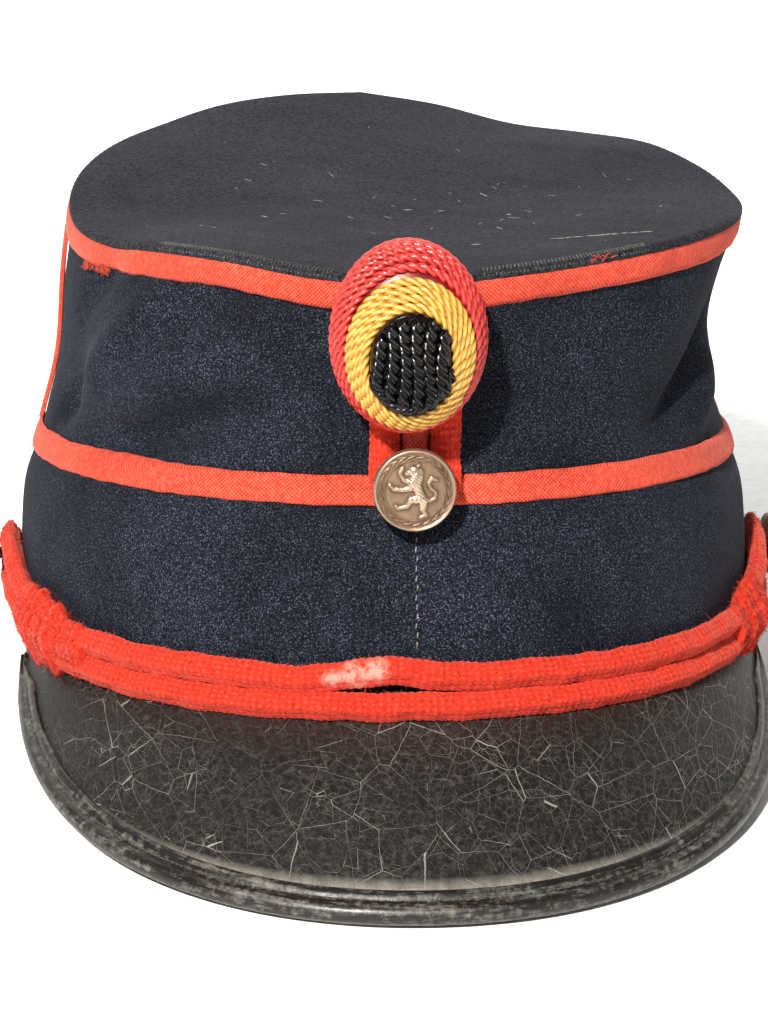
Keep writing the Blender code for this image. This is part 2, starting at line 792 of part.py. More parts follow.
def build_binding(finish, frame):
    """The rolled leather binding round the peak's outer edge."""
    half = PEAK_THICK / 2 + 2 * GAP
    thick = half + BINDING_THICK
    section = (
        (-BINDING_WIDTH, half),
        (-BINDING_WIDTH, thick),
        (-BINDING_WIDTH * 0.25, thick + BINDING_THICK * 0.2),
        (BINDING_BEAD * 0.4, thick),
        (BINDING_BEAD, half * 0.4),
        (BINDING_BEAD, -half * 0.4),
        (BINDING_BEAD * 0.4, -thick),
        (-BINDING_WIDTH, -thick),
        (-BINDING_WIDTH, -half),
        (GAP, -half),
        (GAP, half),
    )
    angles = [a for a in peak_angles() if peak_reach(a) > BINDING_WIDTH * 1.6]
    edge = [peak_point(a, 1.0) for a in angles]
    stations = []
    for i, angle in enumerate(angles):
        along = (edge[min(i + 1, len(edge) - 1)] - edge[max(i - 1, 0)]).normalized()
        normal = peak_normal(angle, 1.0)
        outward = along.cross(normal).normalized()
        stations.append((edge[i], outward, normal))
    return swept("peak_binding", stations, section, finish, frame)


def world_points(frame):
    bpy.context.view_layer.update()
    shown = [o for o in bpy.context.scene.objects if o.type == "MESH"]
    return [o.matrix_world @ v.co for o in shown for v in o.data.vertices]


def stand_on_table(frame):
    """Tips the cap back until its front and back stand level, and centres it over the origin."""
    points = world_points(frame)
    low, high = 0.0, math.radians(25)
    for _ in range(40):
        tip = (low + high) / 2
        turned_points = [Matrix.Rotation(-tip, 3, "X") @ p for p in points]
        front = min(p.z for p in turned_points if p.y < 0)
        back = min(p.z for p in turned_points if p.y > 0)
        low, high = (tip, high) if front < back else (low, tip)
    frame.rotation_euler = (-tip, 0, 0)
    points = world_points(frame)
    lowest = [min(p[i] for p in points) for i in range(3)]
    highest = [max(p[i] for p in points) for i in range(3)]
    middle = [(a + b) / 2 for a, b in zip(lowest, highest)]
    frame.location = (-middle[0], -middle[1], -lowest[2])


def main():
    for thing in list(bpy.data.objects):
        bpy.data.objects.remove(thing, do_unlink=True)
    frame = bpy.data.objects.new("cap_frame", None)
    bpy.context.scene.collection.objects.link(frame)
    wool = material("wool_navy", (0.012, 0.015, 0.026), 0.95)
    tape = material("tape_red", (0.62, 0.055, 0.025), 0.9)
    braid = material("braid_red", (0.60, 0.030, 0.018), 0.95)
    leather = material("leather_black", (0.022, 0.021, 0.020), 0.45)
    metal = material("button_metal", (0.30, 0.24, 0.18), 0.38, 1.0)
    cords = {
        "cockade_red": material("cord_red", (0.55, 0.035, 0.020), 0.45),
        "cockade_yellow": material("cord_yellow", (0.80, 0.42, 0.04), 0.45),
        "cockade_black": material("cord_black", (0.010, 0.010, 0.011), 0.4),
    }
    build_band(wool, frame)
    build_crown(wool, frame)
    build_top(wool, frame)
    tape_ring("seam_tape", seam_rows, tape, frame)
    tape_ring("top_tape", top_rows, tape, frame)
    for name, angle in (("front_tape", 0), ("left_tape", 90), ("right_tape", -90), ("back_tape", 180)):
        build_upright_tape(name, angle, tape, frame)
    build_cockade(cords, frame)
    build_loop(braid, frame)
    build_front_button(metal, frame)
    build_chin_cord(braid, frame)
    for name, side in (("left", 1), ("right", -1)):
        build_slide(name + "_slide", side, braid, frame)
        build_side_button(name + "_button", side, metal, frame)
    build_peak(leather, frame)
    build_binding(leather, frame)
    stand_on_table(frame)


main()
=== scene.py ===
"""Dresses the kepi cap: wool walls, woven tapes, silk cockade, buttons, chin cord and crazed leather peak.

Lengths inside the pieces' functions are in millimetres of the cap's own frame, where the band's lower
rim lies at height 0, the front is at -Y and the wearer's left at +X. Angles run from the front centre.
"""

import json
import math
from functools import partial

import bpy
import numpy as np
from mathutils import Matrix, Vector


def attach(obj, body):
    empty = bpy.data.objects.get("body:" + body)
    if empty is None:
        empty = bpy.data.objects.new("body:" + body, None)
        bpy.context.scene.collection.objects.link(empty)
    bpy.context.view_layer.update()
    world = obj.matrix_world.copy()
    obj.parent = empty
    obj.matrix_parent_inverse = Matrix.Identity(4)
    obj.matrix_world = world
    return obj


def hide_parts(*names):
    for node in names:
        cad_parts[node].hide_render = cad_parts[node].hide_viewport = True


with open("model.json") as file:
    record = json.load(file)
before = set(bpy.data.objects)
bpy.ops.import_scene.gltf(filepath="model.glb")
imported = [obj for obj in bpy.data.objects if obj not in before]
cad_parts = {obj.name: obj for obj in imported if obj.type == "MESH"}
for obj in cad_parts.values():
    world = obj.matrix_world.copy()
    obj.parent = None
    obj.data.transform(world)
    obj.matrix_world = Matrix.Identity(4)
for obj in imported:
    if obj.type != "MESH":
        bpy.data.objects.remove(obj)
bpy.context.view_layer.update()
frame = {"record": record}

bl_info = {
    "name": "Kepi cap",
    "version": (1, 0, 0),
    "blender": (4, 5, 0),
    "location": "3D View > Sidebar > Kepi",
    "description": "Builds the dressed kepi cap piece by piece",
    "category": "Object",
}

MM = 0.001

# The walls, as the solids have them
BAND_HALF = (85.0, 100.3)
SEAM_HALF = (80.5, 95.6)
TOP_HALF = (75.8, 91.6)
BAND_HEIGHT = 43.0
FRONT_HEIGHT = 86.0
BACK_HEIGHT = 121.0
SEAM_SHIFT_Y = 2.5
TOP_SHIFT = (4.6, -5.0)
TOP_SAG = 5.5
CLOTH = 2.4
RIM_X = 83.8

# The peak's sheet
PEAK_LENGTH = 47.8
PEAK_SLOPE = math.radians(36.3)
PEAK_END_ANGLE = 74.4
PEAK_SQUARENESS = 3.1
PEAK_SPLAY = 0.09
PEAK_SIDE_LIFT = 4.8
PEAK_THICK = 2.2
PEAK_BELLY = 1.0
PEAK_SHORTEST = 1.5
PEAK_SEAT = 1.2

RIM_RISE = (
    # angle, rise
    (-180, 1.00),
    (-165, 0.98),
    (-150, 0.91),
    (-135, 0.78),
    (-120, 0.66),
    (-105, 0.52),
    (-90, 0.36),
    (-75, 0.22),
    (-60, 0.15),
    (-45, 0.14),
    (-30, 0.11),
    (-15, 0.03),
    (0, 0.00),
    (15, 0.05),
    (30, 0.11),
    (45, 0.17),
    (60, 0.23),
    (75, 0.29),
    (90, 0.37),
    (105, 0.51),
    (120, 0.65),
    (135, 0.71),
    (150, 0.77),
    (165, 0.91),
    (180, 1.00),
)
BAND_FLARE = (
    # height, flare
    (0.0, 1.00),
    (0.3, 1.06),
    (0.55, 1.02),
    (0.8, 0.72),
    (1.0, 0.00),
)
DENTS = (
    # angle, height, length, breadth, slant, depth
    (86, 0.42, 0.50, 0.240, 0, 0.090),
    (-92, 0.36, 0.45, 0.200, 0, 0.022),
    (-34, 0.24, 0.55, 0.095, 17, 0.030),
    (-46, 0.50, 0.50, 0.110, 20, -0.022),
    (-70, 0.36, 0.20, 0.110, 30, 0.030),
    (-40, 0.84, 0.50, 0.090, -4, 0.022),
    (58, 0.40, 0.26, 0.070, 50, 0.024),
    (34, 0.30, 0.40, 0.130, -12, 0.014),
    (150, 0.45, 0.60, 0.200, 10, 0.026),
    (-145, 0.55, 0.60, 0.180, -14, 0.024),
)
# Finer folds of the crown: a line from one point to another, its breadth and depth in mm
FOLDS = (
    # angle, height, angle, height, breadth, depth
    (-40, 0.88, -62, 0.34, 5.0, -1.6),
    (-54, 0.96, -68, 0.62, 4.0, 1.5),
    (-24, 0.34, -54, 0.05, 4.5, 2.9),
    (-64, 0.34, -72, 0.12, 4.5, 2.6),
    (-20, 0.55, -52, 0.26, 5.0, -1.9),
    (-14, 0.14, -34, 0.04, 3.5, -1.3),
    (-30, 0.80, -44, 0.62, 6.0, 1.2),
    (66, 0.62, 40, 0.14, 3.5, 2.4),
    (70, 0.42, 50, 0.08, 4.0, -1.8),
    (56, 0.80, 38, 0.50, 5.0, -1.0),
    (74, 0.78, 80, 0.20, 5.0, 1.6),
    (14, 0.80, 40, 0.72, 6.0, 1.1),
    (12, 0.42, 30, 0.22, 6.0, 0.9),
    (100, 0.20, 116, 0.60, 5.0, 1.7),
    (172, 0.20, 196, 0.55, 6.0, 1.7),
    (-112, 0.62, -128, 0.20, 5.0, 1.7),
)
CORD_LINE = (
    # angle, climb, spread
    (0, 0.00, 0.0),
    (46, 0.00, 0.0),
    (56, 0.06, 0.0),
    (64, 0.20, 0.0),
    (72, 0.52, 0.12),
    (79, 0.82, 0.60),
    (86, 1.00, 1.0),
)


def mix(low, high, share):
    return low + (high - low) * share


def unit(vectors):
    """Vectors brought to a length of one."""
    return vectors / (np.linalg.norm(vectors, axis=-1, keepdims=True) + 1e-12)


def table_value(rows, place, column=1):
    """Values of a table's column along a smooth curve through its rows."""
    place = np.asarray(place, float)
    x = np.array([row[0] for row in rows], float)
    y = np.array([row[column] for row in rows], float)
    slope = np.gradient(y, x)
    i = np.clip(np.searchsorted(x, place, side="right") - 1, 0, len(x) - 2)
    step = x[i + 1] - x[i]
    t = np.clip((place - x[i]) / step, 0, 1)
    ends = (2 * t**3 - 3 * t**2 + 1) * y[i] + (3 * t**2 - 2 * t**3) * y[i + 1]
    return ends + (t**3 - 2 * t**2 + t) * step * slope[i] + (t**3 - t**2) * step * slope[i + 1]


def waves(u, v, seed, count=6):
    """Gentle seeded noise from -1 to 1 as a sum of sine waves over two coordinates."""
    draw = np.random.default_rng(seed)
    total = 0.0
    for _ in range(count):
        turn, phase = draw.uniform(0, math.tau, 2)
        pace = draw.uniform(0.5, 1.8)
        total = total + np.sin(pace * (u * math.cos(turn) + v * math.sin(turn)) + phase)
    return total / count * 1.6


def smooth_step(low, high, value):
    t = np.clip((value - low) / (high - low), 0, 1)
    return t * t * (3 - 2 * t)


def oval(angle, half_x, half_y, centre_x, centre_y, height, offset):
    """Points on an oval round the cap and the oval's outward directions."""
    turn = np.radians(angle)
    out = unit(np.stack([half_y * np.sin(turn), -half_x * np.cos(turn), 0 * turn], -1))
    place = np.stack(
        [half_x * np.sin(turn) + centre_x, -half_y * np.cos(turn) + centre_y, height + 0 * turn], -1
    )
    return place + out * np.asarray(offset)[..., None], out


def band_wall(angle, share, offset=0.0):
    """The band's outer face from the rim at share 0 to the seam at share 1, moved out by an offset."""
    angle, share, offset = np.broadcast_arrays(*np.atleast_1d(angle, share, offset))
    flare = table_value(BAND_FLARE, share)
    half = [mix(s, b, flare) for s, b in zip(SEAM_HALF, BAND_HALF)]
    return oval(angle, *half, 0.0, SEAM_SHIFT_Y * share, BAND_HEIGHT * share, offset)


def rim_height(angle):
    """Height of the crown's upper rim at an angle."""
    wrapped = (np.asarray(angle, float) + 180) % 360 - 180
    return mix(FRONT_HEIGHT, BACK_HEIGHT, table_value(RIM_RISE, wrapped))


def dent_depth(angle, share):
    """How far the crown's wall is pushed in, in mm, which fades out at its seam and at its rim."""
    total = np.zeros(np.broadcast(angle, share).shape)
    wall = rim_height(angle) - BAND_HEIGHT
    for centre, height, length, breadth, slant, depth in DENTS:
        away = (angle - centre + 180) % 360 - 180
        along = np.radians(away) * TOP_HALF[0]
        up = (share - height) * wall
        tip = math.radians(slant)
        run = (along * math.cos(tip) + up * math.sin(tip)) / (length * TOP_HALF[0])
        rise = (up * math.cos(tip) - along * math.sin(tip)) / (breadth * TOP_HALF[0])
        total += depth * TOP_HALF[0] * np.exp(-run * run - rise * rise)
    for from_angle, from_height, to_angle, to_height, breadth, depth in FOLDS:
        x = np.radians((angle - from_angle + 180) % 360 - 180) * TOP_HALF[0]
        y = (share - from_height) * wall
        run = math.radians(to_angle - from_angle) * TOP_HALF[0]
        rise = (to_height - from_height) * wall
        near = np.clip((x * run + y * rise) / (run * run + rise * rise), 0, 1)
        gap = np.hypot(x - near * run, y - near * rise)
        total += 1.6 * depth * np.exp(-((gap / breadth) ** 2)) * (0.35 + 0.65 * np.sin(math.pi * near))
    return total * (1 - (2 * np.clip(share, 0, 1) - 1) ** 6)


def crown_wall(angle, share, offset=0.0):
    """The crown's outer face from the seam at share 0 to the rim at share 1, moved out by an offset."""
    angle, share, offset = np.broadcast_arrays(*np.atleast_1d(angle, share, offset))
    half = [mix(s, t, share) for s, t in zip(SEAM_HALF, TOP_HALF)]
    shift = TOP_SHIFT[0] * share
    upright = np.degrees(np.arcsin(shift / half[0])) * np.cos(np.radians(angle))
    height = mix(BAND_HEIGHT, rim_height(angle), share)
    centre_y = mix(SEAM_SHIFT_Y, TOP_SHIFT[1], share)
    return oval(angle - upright, *half, shift, centre_y, height, offset - dent_depth(angle, share))


def cloth_wall(angle, height, offset=0.0):
    """The cap's outer face at a height, on the band or on the crown above it."""
    angle, height, offset = np.broadcast_arrays(*np.atleast_1d(angle, height, offset))
    low, low_out = band_wall(angle, np.clip(height, 0, BAND_HEIGHT) / BAND_HEIGHT, offset)
    share = np.clip((height - BAND_HEIGHT) / (rim_height(angle) - BAND_HEIGHT), 0, 1)
    high, high_out = crown_wall(angle, share, offset)
    above = (height > BAND_HEIGHT)[..., None]
    return np.where(above, high, low), np.where(above, high_out, low_out)


def top_face(angle, share, drop=0.0):
    """The top's upper face, from its centre at share 0 to the rim at share 1."""
    angle, share = np.broadcast_arrays(*np.atleast_1d(angle, share))
    rim = crown_wall(angle, 1.0)[0]
    x = TOP_SHIFT[0] + (rim[..., 0] - TOP_SHIFT[0]) * share
    y = TOP_SHIFT[1] + (rim[..., 1] - TOP_SHIFT[1]) * share
    tilt = (BACK_HEIGHT - FRONT_HEIGHT) / (2 * TOP_HALF[1])
    level = mix(FRONT_HEIGHT, BACK_HEIGHT, 0.5)
    rim_plane = level + (rim[..., 1] - TOP_SHIFT[1]) * tilt
    plane = level + (y - TOP_SHIFT[1]) * tilt
    height = plane + (rim[..., 2] - rim_plane) * share**2 - TOP_SAG * (1 - share**2) ** 1.5
    return np.stack([x, y, height - drop], -1)


def peak_reach(angle):
    """Length of the peak's sheet along its straight line at an angle."""
    shape = 1 - (np.abs(angle) / PEAK_END_ANGLE) ** PEAK_SQUARENESS
    return np.maximum(PEAK_SHORTEST, PEAK_LENGTH * np.sqrt(np.clip(shape, 0, 1)))


def peak_sheet(angle, share):
    """Middle of the peak's thickness, from the band's face at share 0 to the edge at share 1."""
    angle, share = np.broadcast_arrays(*np.atleast_1d(angle, share))
    turn = np.sin(np.radians(angle))
    start = band_wall(angle, 0.0)[0]
    reach = peak_reach(angle) * share
    fullness = peak_reach(angle) / PEAK_LENGTH
    belly = PEAK_BELLY * fullness * np.sin(math.pi * share)
    lift = PEAK_SIDE_LIFT * turn**2 * np.sqrt(fullness) * share
    drop = PEAK_SEAT + PEAK_THICK / 2 + reach * math.sin(PEAK_SLOPE) - lift - belly
    side = PEAK_SPLAY * reach * turn
    return start + np.stack([side, -reach * math.cos(PEAK_SLOPE), -drop], -1)


def sheet_normals(angle, along):
    """Upward unit normals of the peak's sheet, from its foot on the band and its directions outwards."""
    across = np.gradient(band_wall(angle, 0.0)[0], axis=0)
    normal = unit(np.cross(across, along))
    normal[normal[..., 2] < 0] *= -1
    return normal


# Points round a braid and the columns of stitches on it
BRAID_AROUND = 42
BRAID_COLUMNS = 14


def cap_matrix():
    """Where the cap's own frame stands in the row, from the face of the band's rim."""
    rim = next(m for m in frame["record"]["mounts"] if m["name"] == "rim")
    tip = math.atan2(-rim["axis"][1], -rim["axis"][2])
    turned = Matrix.Rotation(-tip, 4, "X")
    place = Vector(rim["pos_m"]) - turned @ Vector((RIM_X * MM, 0, 0))
    return Matrix.Translation(place) @ turned


CAP = cap_matrix()


def piece(name, points, faces, material, nodes=(), sharp=None, coords=None):
    """A mesh piece from points in the cap's frame, which rides on the cap and replaces the named solids."""
    mesh = bpy.data.meshes.new(name)
    turned = np.array(CAP)
    stood = np.asarray(points, float).reshape(-1, 3) * MM @ turned[:3, :3].T + turned[:3, 3]
    mesh.from_pydata(stood.tolist(), [], faces)
    mesh.validate()
    mesh.shade_smooth()
    if sharp:
        mesh.set_sharp_from_angle(angle=math.radians(sharp))
    if coords is not None:
        layer = mesh.attributes.new("thread", "FLOAT_VECTOR", "POINT")
        layer.data.foreach_set("vector", np.asarray(coords, float).reshape(-1))
    mesh.materials.append(material)
    made = bpy.data.objects.new(name, mesh)
    bpy.context.scene.collection.objects.link(made)
    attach(made, "root")
    if nodes:
        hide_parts(*nodes)
    return made


def ring_faces(count, size, wrap):
    """Quads between rings of equal length, the last ring joined to the first where it wraps."""
    last = count if wrap else count - 1
    i, j = np.meshgrid(np.arange(last), np.arange(size), indexing="ij")
    here, there, k = i * size, (i + 1) % count * size, (j + 1) % size
    return np.stack([here + j, here + k, there + k, there + j], -1).reshape(-1, 4).tolist()


def turned_faces(count, size, flip=False):
    """Faces of lines carried round an axis back to the first, with a cap over each open end."""
    i, j = np.meshgrid(np.arange(count), np.arange(size - 1), indexing="ij")
    here, there = i * size + j, (i + 1) % count * size + j
    order = (here, there, there + 1, here + 1) if flip else (here, here + 1, there + 1, there)
    first = [i * size for i in range(count)]
    last = [i * size + size - 1 for i in range(count)]
    caps = [first[::-1], last] if flip else [first, last[::-1]]
    return np.stack(order, -1).reshape(-1, 4).tolist() + caps


def shell(rings, wrap):
    """Points and faces of closed rings carried along a line, with flat ends where it does not wrap."""
    count, size = rings.shape[:2]
    faces = ring_faces(count, size, wrap)
    if not wrap:
        faces.append(list(range(size))[::-1])
        faces.append([(count - 1) * size + j for j in range(size)])
    return rings.reshape(-1, 3), faces


def sweep(path, outs, profile, wrap=False):
    """Rings of a profile along a path. The profile gives, per station, side and out lengths."""
    if wrap:
        along = np.roll(path, -1, 0) - np.roll(path, 1, 0)
    else:
        along = np.gradient(path, axis=0)
    along = unit(along)
    side = unit(np.cross(outs, along))
    up = np.cross(along, side)
    s, o = profile[..., 0], profile[..., 1]
    return path[:, None] + side[:, None] * s[..., None] + up[:, None] * o[..., None]


def run_length(path):
    """Length along a path up to each of its points."""
    steps = np.linalg.norm(np.diff(path, axis=0), axis=1)
    return np.concatenate([[0], np.cumsum(steps)])


def resample(path, extra, step):
    """The path and its outward directions at even steps."""
    length = run_length(path)
    spots = np.linspace(0, length[-1], max(3, int(length[-1] / step)))
    new = np.stack([np.interp(spots, length, path[:, i]) for i in range(3)], -1)
    outs = np.stack([np.interp(spots, length, extra[:, i]) for i in range(3)], -1)
    return new, unit(outs), spots


def rope(path, outs, radius, plies, lay, around=14, step=0.3, taper=0.0, waist=0.74):
    """A cord of plies twisted round each other, one turn in each lay."""
    path, outs, spots = resample(path, outs, step)
    angle = np.linspace(0, math.tau, around, endpoint=False)[None]
    twist = angle - math.tau * spots[:, None] / lay
    ply = np.abs(np.cos(plies * twist / 2))
    lobes = radius * mix(waist, 1.0, ply)
    if taper:
        ends = np.minimum(spots, spots[-1] - spots) / taper
        lobes = lobes * np.sqrt(np.clip(ends, 0.15, 1))[:, None]
    profile = np.stack([lobes * np.cos(angle), lobes * np.sin(angle)], -1)
    coords = np.stack([spots[:, None] + 0 * angle, plies * twist, ply], -1)
    points, faces = shell(sweep(path, outs, profile), False)
    return points, faces, coords.reshape(-1, 3)


def braid(path, outs, half, thick, step=0.33, wrap=False, pitch=1.5, seed=1, swell=None):
    """A soft woven wool cord of oval section with small crossing stitches."""
    if wrap:
        path = np.concatenate([path, path[:1]])
        outs = np.concatenate([outs, outs[:1]])
    path, outs, spots = resample(path, outs, step)
    if wrap:
        path, outs, spots = path[:-1], outs[:-1], spots[:-1]
        pitch = (spots[-1] + step) / round((spots[-1] + step) / pitch)
    angle = np.linspace(0, math.tau, BRAID_AROUND, endpoint=False)[None]
    run = spots[:, None]
    stitch = np.abs(((angle / math.tau * BRAID_COLUMNS) % 1) - 0.5) * 2
    rows = np.cos(math.tau * run / pitch + 2.2 * stitch + 0.6 * waves(run * 0.6, angle, seed + 1))
    relief = (0.5 + 0.5 * rows) * np.sqrt(np.clip(np.sin(math.pi * stitch), 0, 1))
    weave = (relief - 0.55) * (0.16 + 0.10 * waves(run * 0.8, angle * 2, seed + 2))
    uneven = 0.20 * waves(run * 0.5, angle * 1.5, seed) + 0.08 * waves(run * 2.2, angle * 4, seed + 3)
    flat = 1 + 0.10 * np.cos(4 * angle)
    grow = 1.0 if swell is None else swell(spots)[:, None]
    side = (half * flat * grow + weave + uneven) * np.cos(angle)
    out = (thick * flat * grow + weave + uneven) * np.sin(angle)
    points, faces = shell(sweep(path, outs, np.stack([side, out], -1), wrap), wrap)
    coords = np.stack([spots[:, None] + 0 * angle, angle + 0 * weave, relief], -1)
    return points, faces, coords.reshape(-1, 3)


def joined(parts):
    """Several meshes with their coordinates as one."""
    points, faces, coords, start = [], [], [], 0
    for p, f, c in parts:
        points.append(np.asarray(p, float).reshape(-1, 3))
        faces += [[i + start for i in face] for face in f]
        coords.append(np.asarray(c, float).reshape(-1, 3))
        start += len(points[-1])
    return np.concatenate(points), faces, np.concatenate(coords)


# Materials

# Sizes of the patterns in mm. Wool fibres are 0.02 mm thick and silk filaments 0.01 mm, too fine to show,
# so the nap, the fuzz and the filaments are drawn as coarse as they need to show
NAP = 0.18
FLECK = 0.16
COARSE_NAP = 0.45
TWILL_SCALE = 330.0
LINT_SCALE = 85.0
WOOL_CLOUD = 16.0
DUST_CLOUD = 22.0
TAPE_PICK = 0.9
TAPE_END = 0.8
TAPE_FUZZ = 0.5
TAPE_WEAR = 11.0
BRAID_FUZZ = 0.35
BRAID_TUFT = 1.0
SILK_MOTTLE = 1.2
BRASS_STAIN = 1.4
LEATHER_GRIME = 0.7
LEATHER_DUST = 1.2
LEATHER_PATCH = 12.0
BINDING_GRAIN = 0.9
BINDING_SCUFF = 1.8
BINDING_FINE = 0.8
THREAD_FUZZ = 0.3
PAPER_FIBRE = 2.0

# Where the chin cord's upper strand is rubbed through
WORN_FRONT = -0.1045
WORN_SPOTS = (
    # across, height, reach, in metres
    (-0.0170, 0.0066, 0.0036),
    (-0.0125, 0.0074, 0.0044),
    (-0.0085, 0.0086, 0.0036),
)
CRACK_NETS = (
    # mm across, share of the peak's length, wander in mm, width, strength
    (11.0, 0.30, 3.0, 0.0056, 1.0),
    (5.0, 0.14, 2.2, 0.0085, 0.85),
    (1.6, 0.040, 1.2, 0.019, 0.36),
)


def linear(code):
    """An sRGB hex colour as linear red, green, blue and alpha."""
    values = [int(code[i : i + 2], 16) / 255 for i in (1, 3, 5)]
    return [v / 12.92 if v <= 0.04045 else ((v + 0.055) / 1.055) ** 2.4 for v in values] + [1.0]


def add_node(tree, kind, inputs=None, out=0, stops=(), **settings):
    """A node with its settings and colour stops, its inputs set or linked. Gives back one output or all."""
    node = tree.nodes.new("ShaderNode" + kind)
    for key, value in settings.items():
        setattr(node, key, value)
    while stops and len(node.color_ramp.elements) < len(stops):
        node.color_ramp.elements.new(0.5)
    for i, (place, code) in enumerate(stops):
        node.color_ramp.elements[i].position = place
        node.color_ramp.elements[i].color = linear(code)
    for key, value in (inputs or {}).items():
        if isinstance(value, bpy.types.NodeSocket):
            tree.links.new(value, node.inputs[key])
        else:
            node.inputs[key].default_value = value
    return node.outputs if out is None else node.outputs[out]


def new_material(name):
    """An empty material and the function that adds a node to it."""
    made = bpy.data.materials.new(name)
    made.use_nodes = True
    made.node_tree.nodes.clear()
    return made, partial(add_node, made.node_tree)


def finish_surface(made, bump_height, bump_size, inputs):
    """The surface shader with its bump, joined to the output."""
    tree = made.node_tree
    if bump_height is not None:
        bump = {"Height": bump_height, "Distance": bump_size, "Strength": 1.0}
        inputs["Normal"] = add_node(tree, "Bump", bump)
    surface = add_node(tree, "BsdfPrincipled", inputs)
    add_node(tree, "OutputMaterial", {"Surface": surface}, None)
    return made


def fulled_wool(name, colours, faded):
    """Fulled wool cloth: dyed in the fleece, milled until its weave closes, so it is matt, with a short nap.
    Its colour is painted darker in the nap's hollows and paler on its ends, painted shade and painted light
    over random tone, and its paler fibre ends that catch the light are painted flecks, painted glints.
    On a faded face dust dulls it and its twill shows.
    """
    made, add = new_material(name)
    where = add("TexCoord", out="Object")
    nap = add("TexNoise", {"Vector": where, "Scale": 500 / NAP, "Detail": 2, "Roughness": 0.7})
    flecks = add("TexNoise", {"Vector": where, "Scale": 500 / FLECK, "Detail": 1, "Roughness": 0.5})
    clouds = add("TexNoise", {"Vector": where, "Scale": 500 / WOOL_CLOUD, "Detail": 3, "Roughness": 0.6})
    # Painted shade and painted light: the nap noise that makes the bump also darkens its hollows and pales
    # its ends
    stops = ((0.38, colours.dark), (0.5, colours.mid), (0.64, colours.pale))
    base = add("ValToRGB", {"Fac": nap}, stops=stops)
    # Painted glints: pale flecks for fibre ends that catch the light
    fleck_glint = add("ValToRGB", {"Fac": flecks}, stops=((0.57, "#000000"), (0.72, "#FFFFFF")))
    fleck_glint = add("RGBToBW", {"Color": fleck_glint})
    amount = add("Math", {0: fleck_glint, 1: 0.82 - 0.12 * faded}, operation="MULTIPLY")
    coloured = add("Mix", {0: amount, 6: base, 7: linear(colours.fleck)}, 2, data_type="RGBA")
    shade = add("ValToRGB", {"Fac": clouds}, stops=((0.35, "#8C8C8C"), (0.65, "#FFFFFF")))
    coloured = add("Mix", {0: 0.75, 6: coloured, 7: shade}, 2, data_type="RGBA", blend_type="MULTIPLY")
    bump = nap
    if faded:
        dust = add("TexNoise", {"Vector": where, "Scale": 500 / DUST_CLOUD, "Detail": 4, "Roughness": 0.65})
        dusty = add("Math", {0: dust, 1: 0.42}, operation="MULTIPLY")
        coloured = add("Mix", {0: dusty, 6: coloured, 7: linear(colours.dust)}, 2, data_type="RGBA")
        twill = {"Vector": where, "Scale": TWILL_SCALE, "Distortion": 1.2}
        twill = add("TexWave", twill, "Fac", bands_direction="DIAGONAL")
        twill = add("Math", {0: twill, 1: 0.35}, operation="MULTIPLY")
        bump = add("Math", {0: nap, 1: twill}, operation="ADD")
        lint = add("TexVoronoi", {"Vector": where, "Scale": LINT_SCALE, "Randomness": 1.0}, "Distance")
        spot = add("Math", {0: lint, 1: 0.04}, operation="LESS_THAN")
        spot = add("Math", {0: spot, 1: 0.4}, operation="MULTIPLY")
        coloured = add("Mix", {0: spot, 6: coloured, 7: linear(colours.lint)}, 2, data_type="RGBA")
        coarse = add("TexNoise", {"Vector": where, "Scale": 500 / COARSE_NAP, "Detail": 4, "Roughness": 0.85})
        coarse = add("ValToRGB", {"Fac": coarse}, stops=((0.40, "#525252"), (0.58, "#FFFFFF")))
        coloured = add("Mix", {0: 0.95, 6: coloured, 7: coarse}, 2, data_type="RGBA", blend_type="MULTIPLY")
    matt = {"Roughness": 0.94, "Specular IOR Level": 0.12, "Sheen Weight": 0.05, "Sheen Roughness": 0.45}
    return finish_surface(
        made, bump, 0.00007, {"Base Color": coloured, "Sheen Tint": linear(colours.sheen), **matt}
    )


def woven_tape(name, colours):
    """Flat worsted tape, scarlet dyed: a tight small weave, matt, with painted shade in the weave's hollows
    and painted highlight on its raised threads.
    """
    made, add = new_material(name)
    where = add("TexCoord", out="Object")
    along = add("Attribute", out="Vector", attribute_name="thread")
    along = add("SeparateXYZ", {"Vector": along}, None)
    picks = add("Math", {0: along["X"], 1: math.tau / TAPE_PICK}, operation="MULTIPLY")
    picks = add("Math", {0: picks}, operation="SINE")
    ends = add("Math", {0: along["Y"], 1: math.tau / TAPE_END}, operation="MULTIPLY")
    ends = add("Math", {0: ends}, operation="SINE")
    weave = add("Math", {0: picks, 1: ends}, operation="MULTIPLY")
    weave = add("Math", {0: weave, 1: 0.3}, operation="MULTIPLY")
    fuzz = add("TexNoise", {"Vector": where, "Scale": 500 / TAPE_FUZZ, "Detail": 3, "Roughness": 0.7})
    height = add("Math", {0: weave, 1: fuzz}, operation="ADD")
    # Painted shade in the weave's hollows and painted highlight on its raised threads, over the fuzz's random
    # tone
    stops = ((0.25, colours.dark), (0.5, colours.mid), (0.85, colours.pale))
    base = add("ValToRGB", {"Fac": height}, stops=stops)
    worn = add("TexNoise", {"Vector": where, "Scale": 500 / TAPE_WEAR, "Detail": 3, "Roughness": 0.6})
    shade = add("ValToRGB", {"Fac": worn}, stops=((0.35, "#B9A8A4"), (0.6, "#FFFFFF")))
    coloured = add("Mix", {0: 0.5, 6: base, 7: shade}, 2, data_type="RGBA", blend_type="MULTIPLY")
    matt = {"Roughness": 0.88, "Specular IOR Level": 0.25, "Sheen Weight": 0.25, "Sheen Roughness": 0.5}
    return finish_surface(
        made, height, 0.0001, {"Base Color": coloured, "Sheen Tint": linear(colours.sheen), **matt}
    )


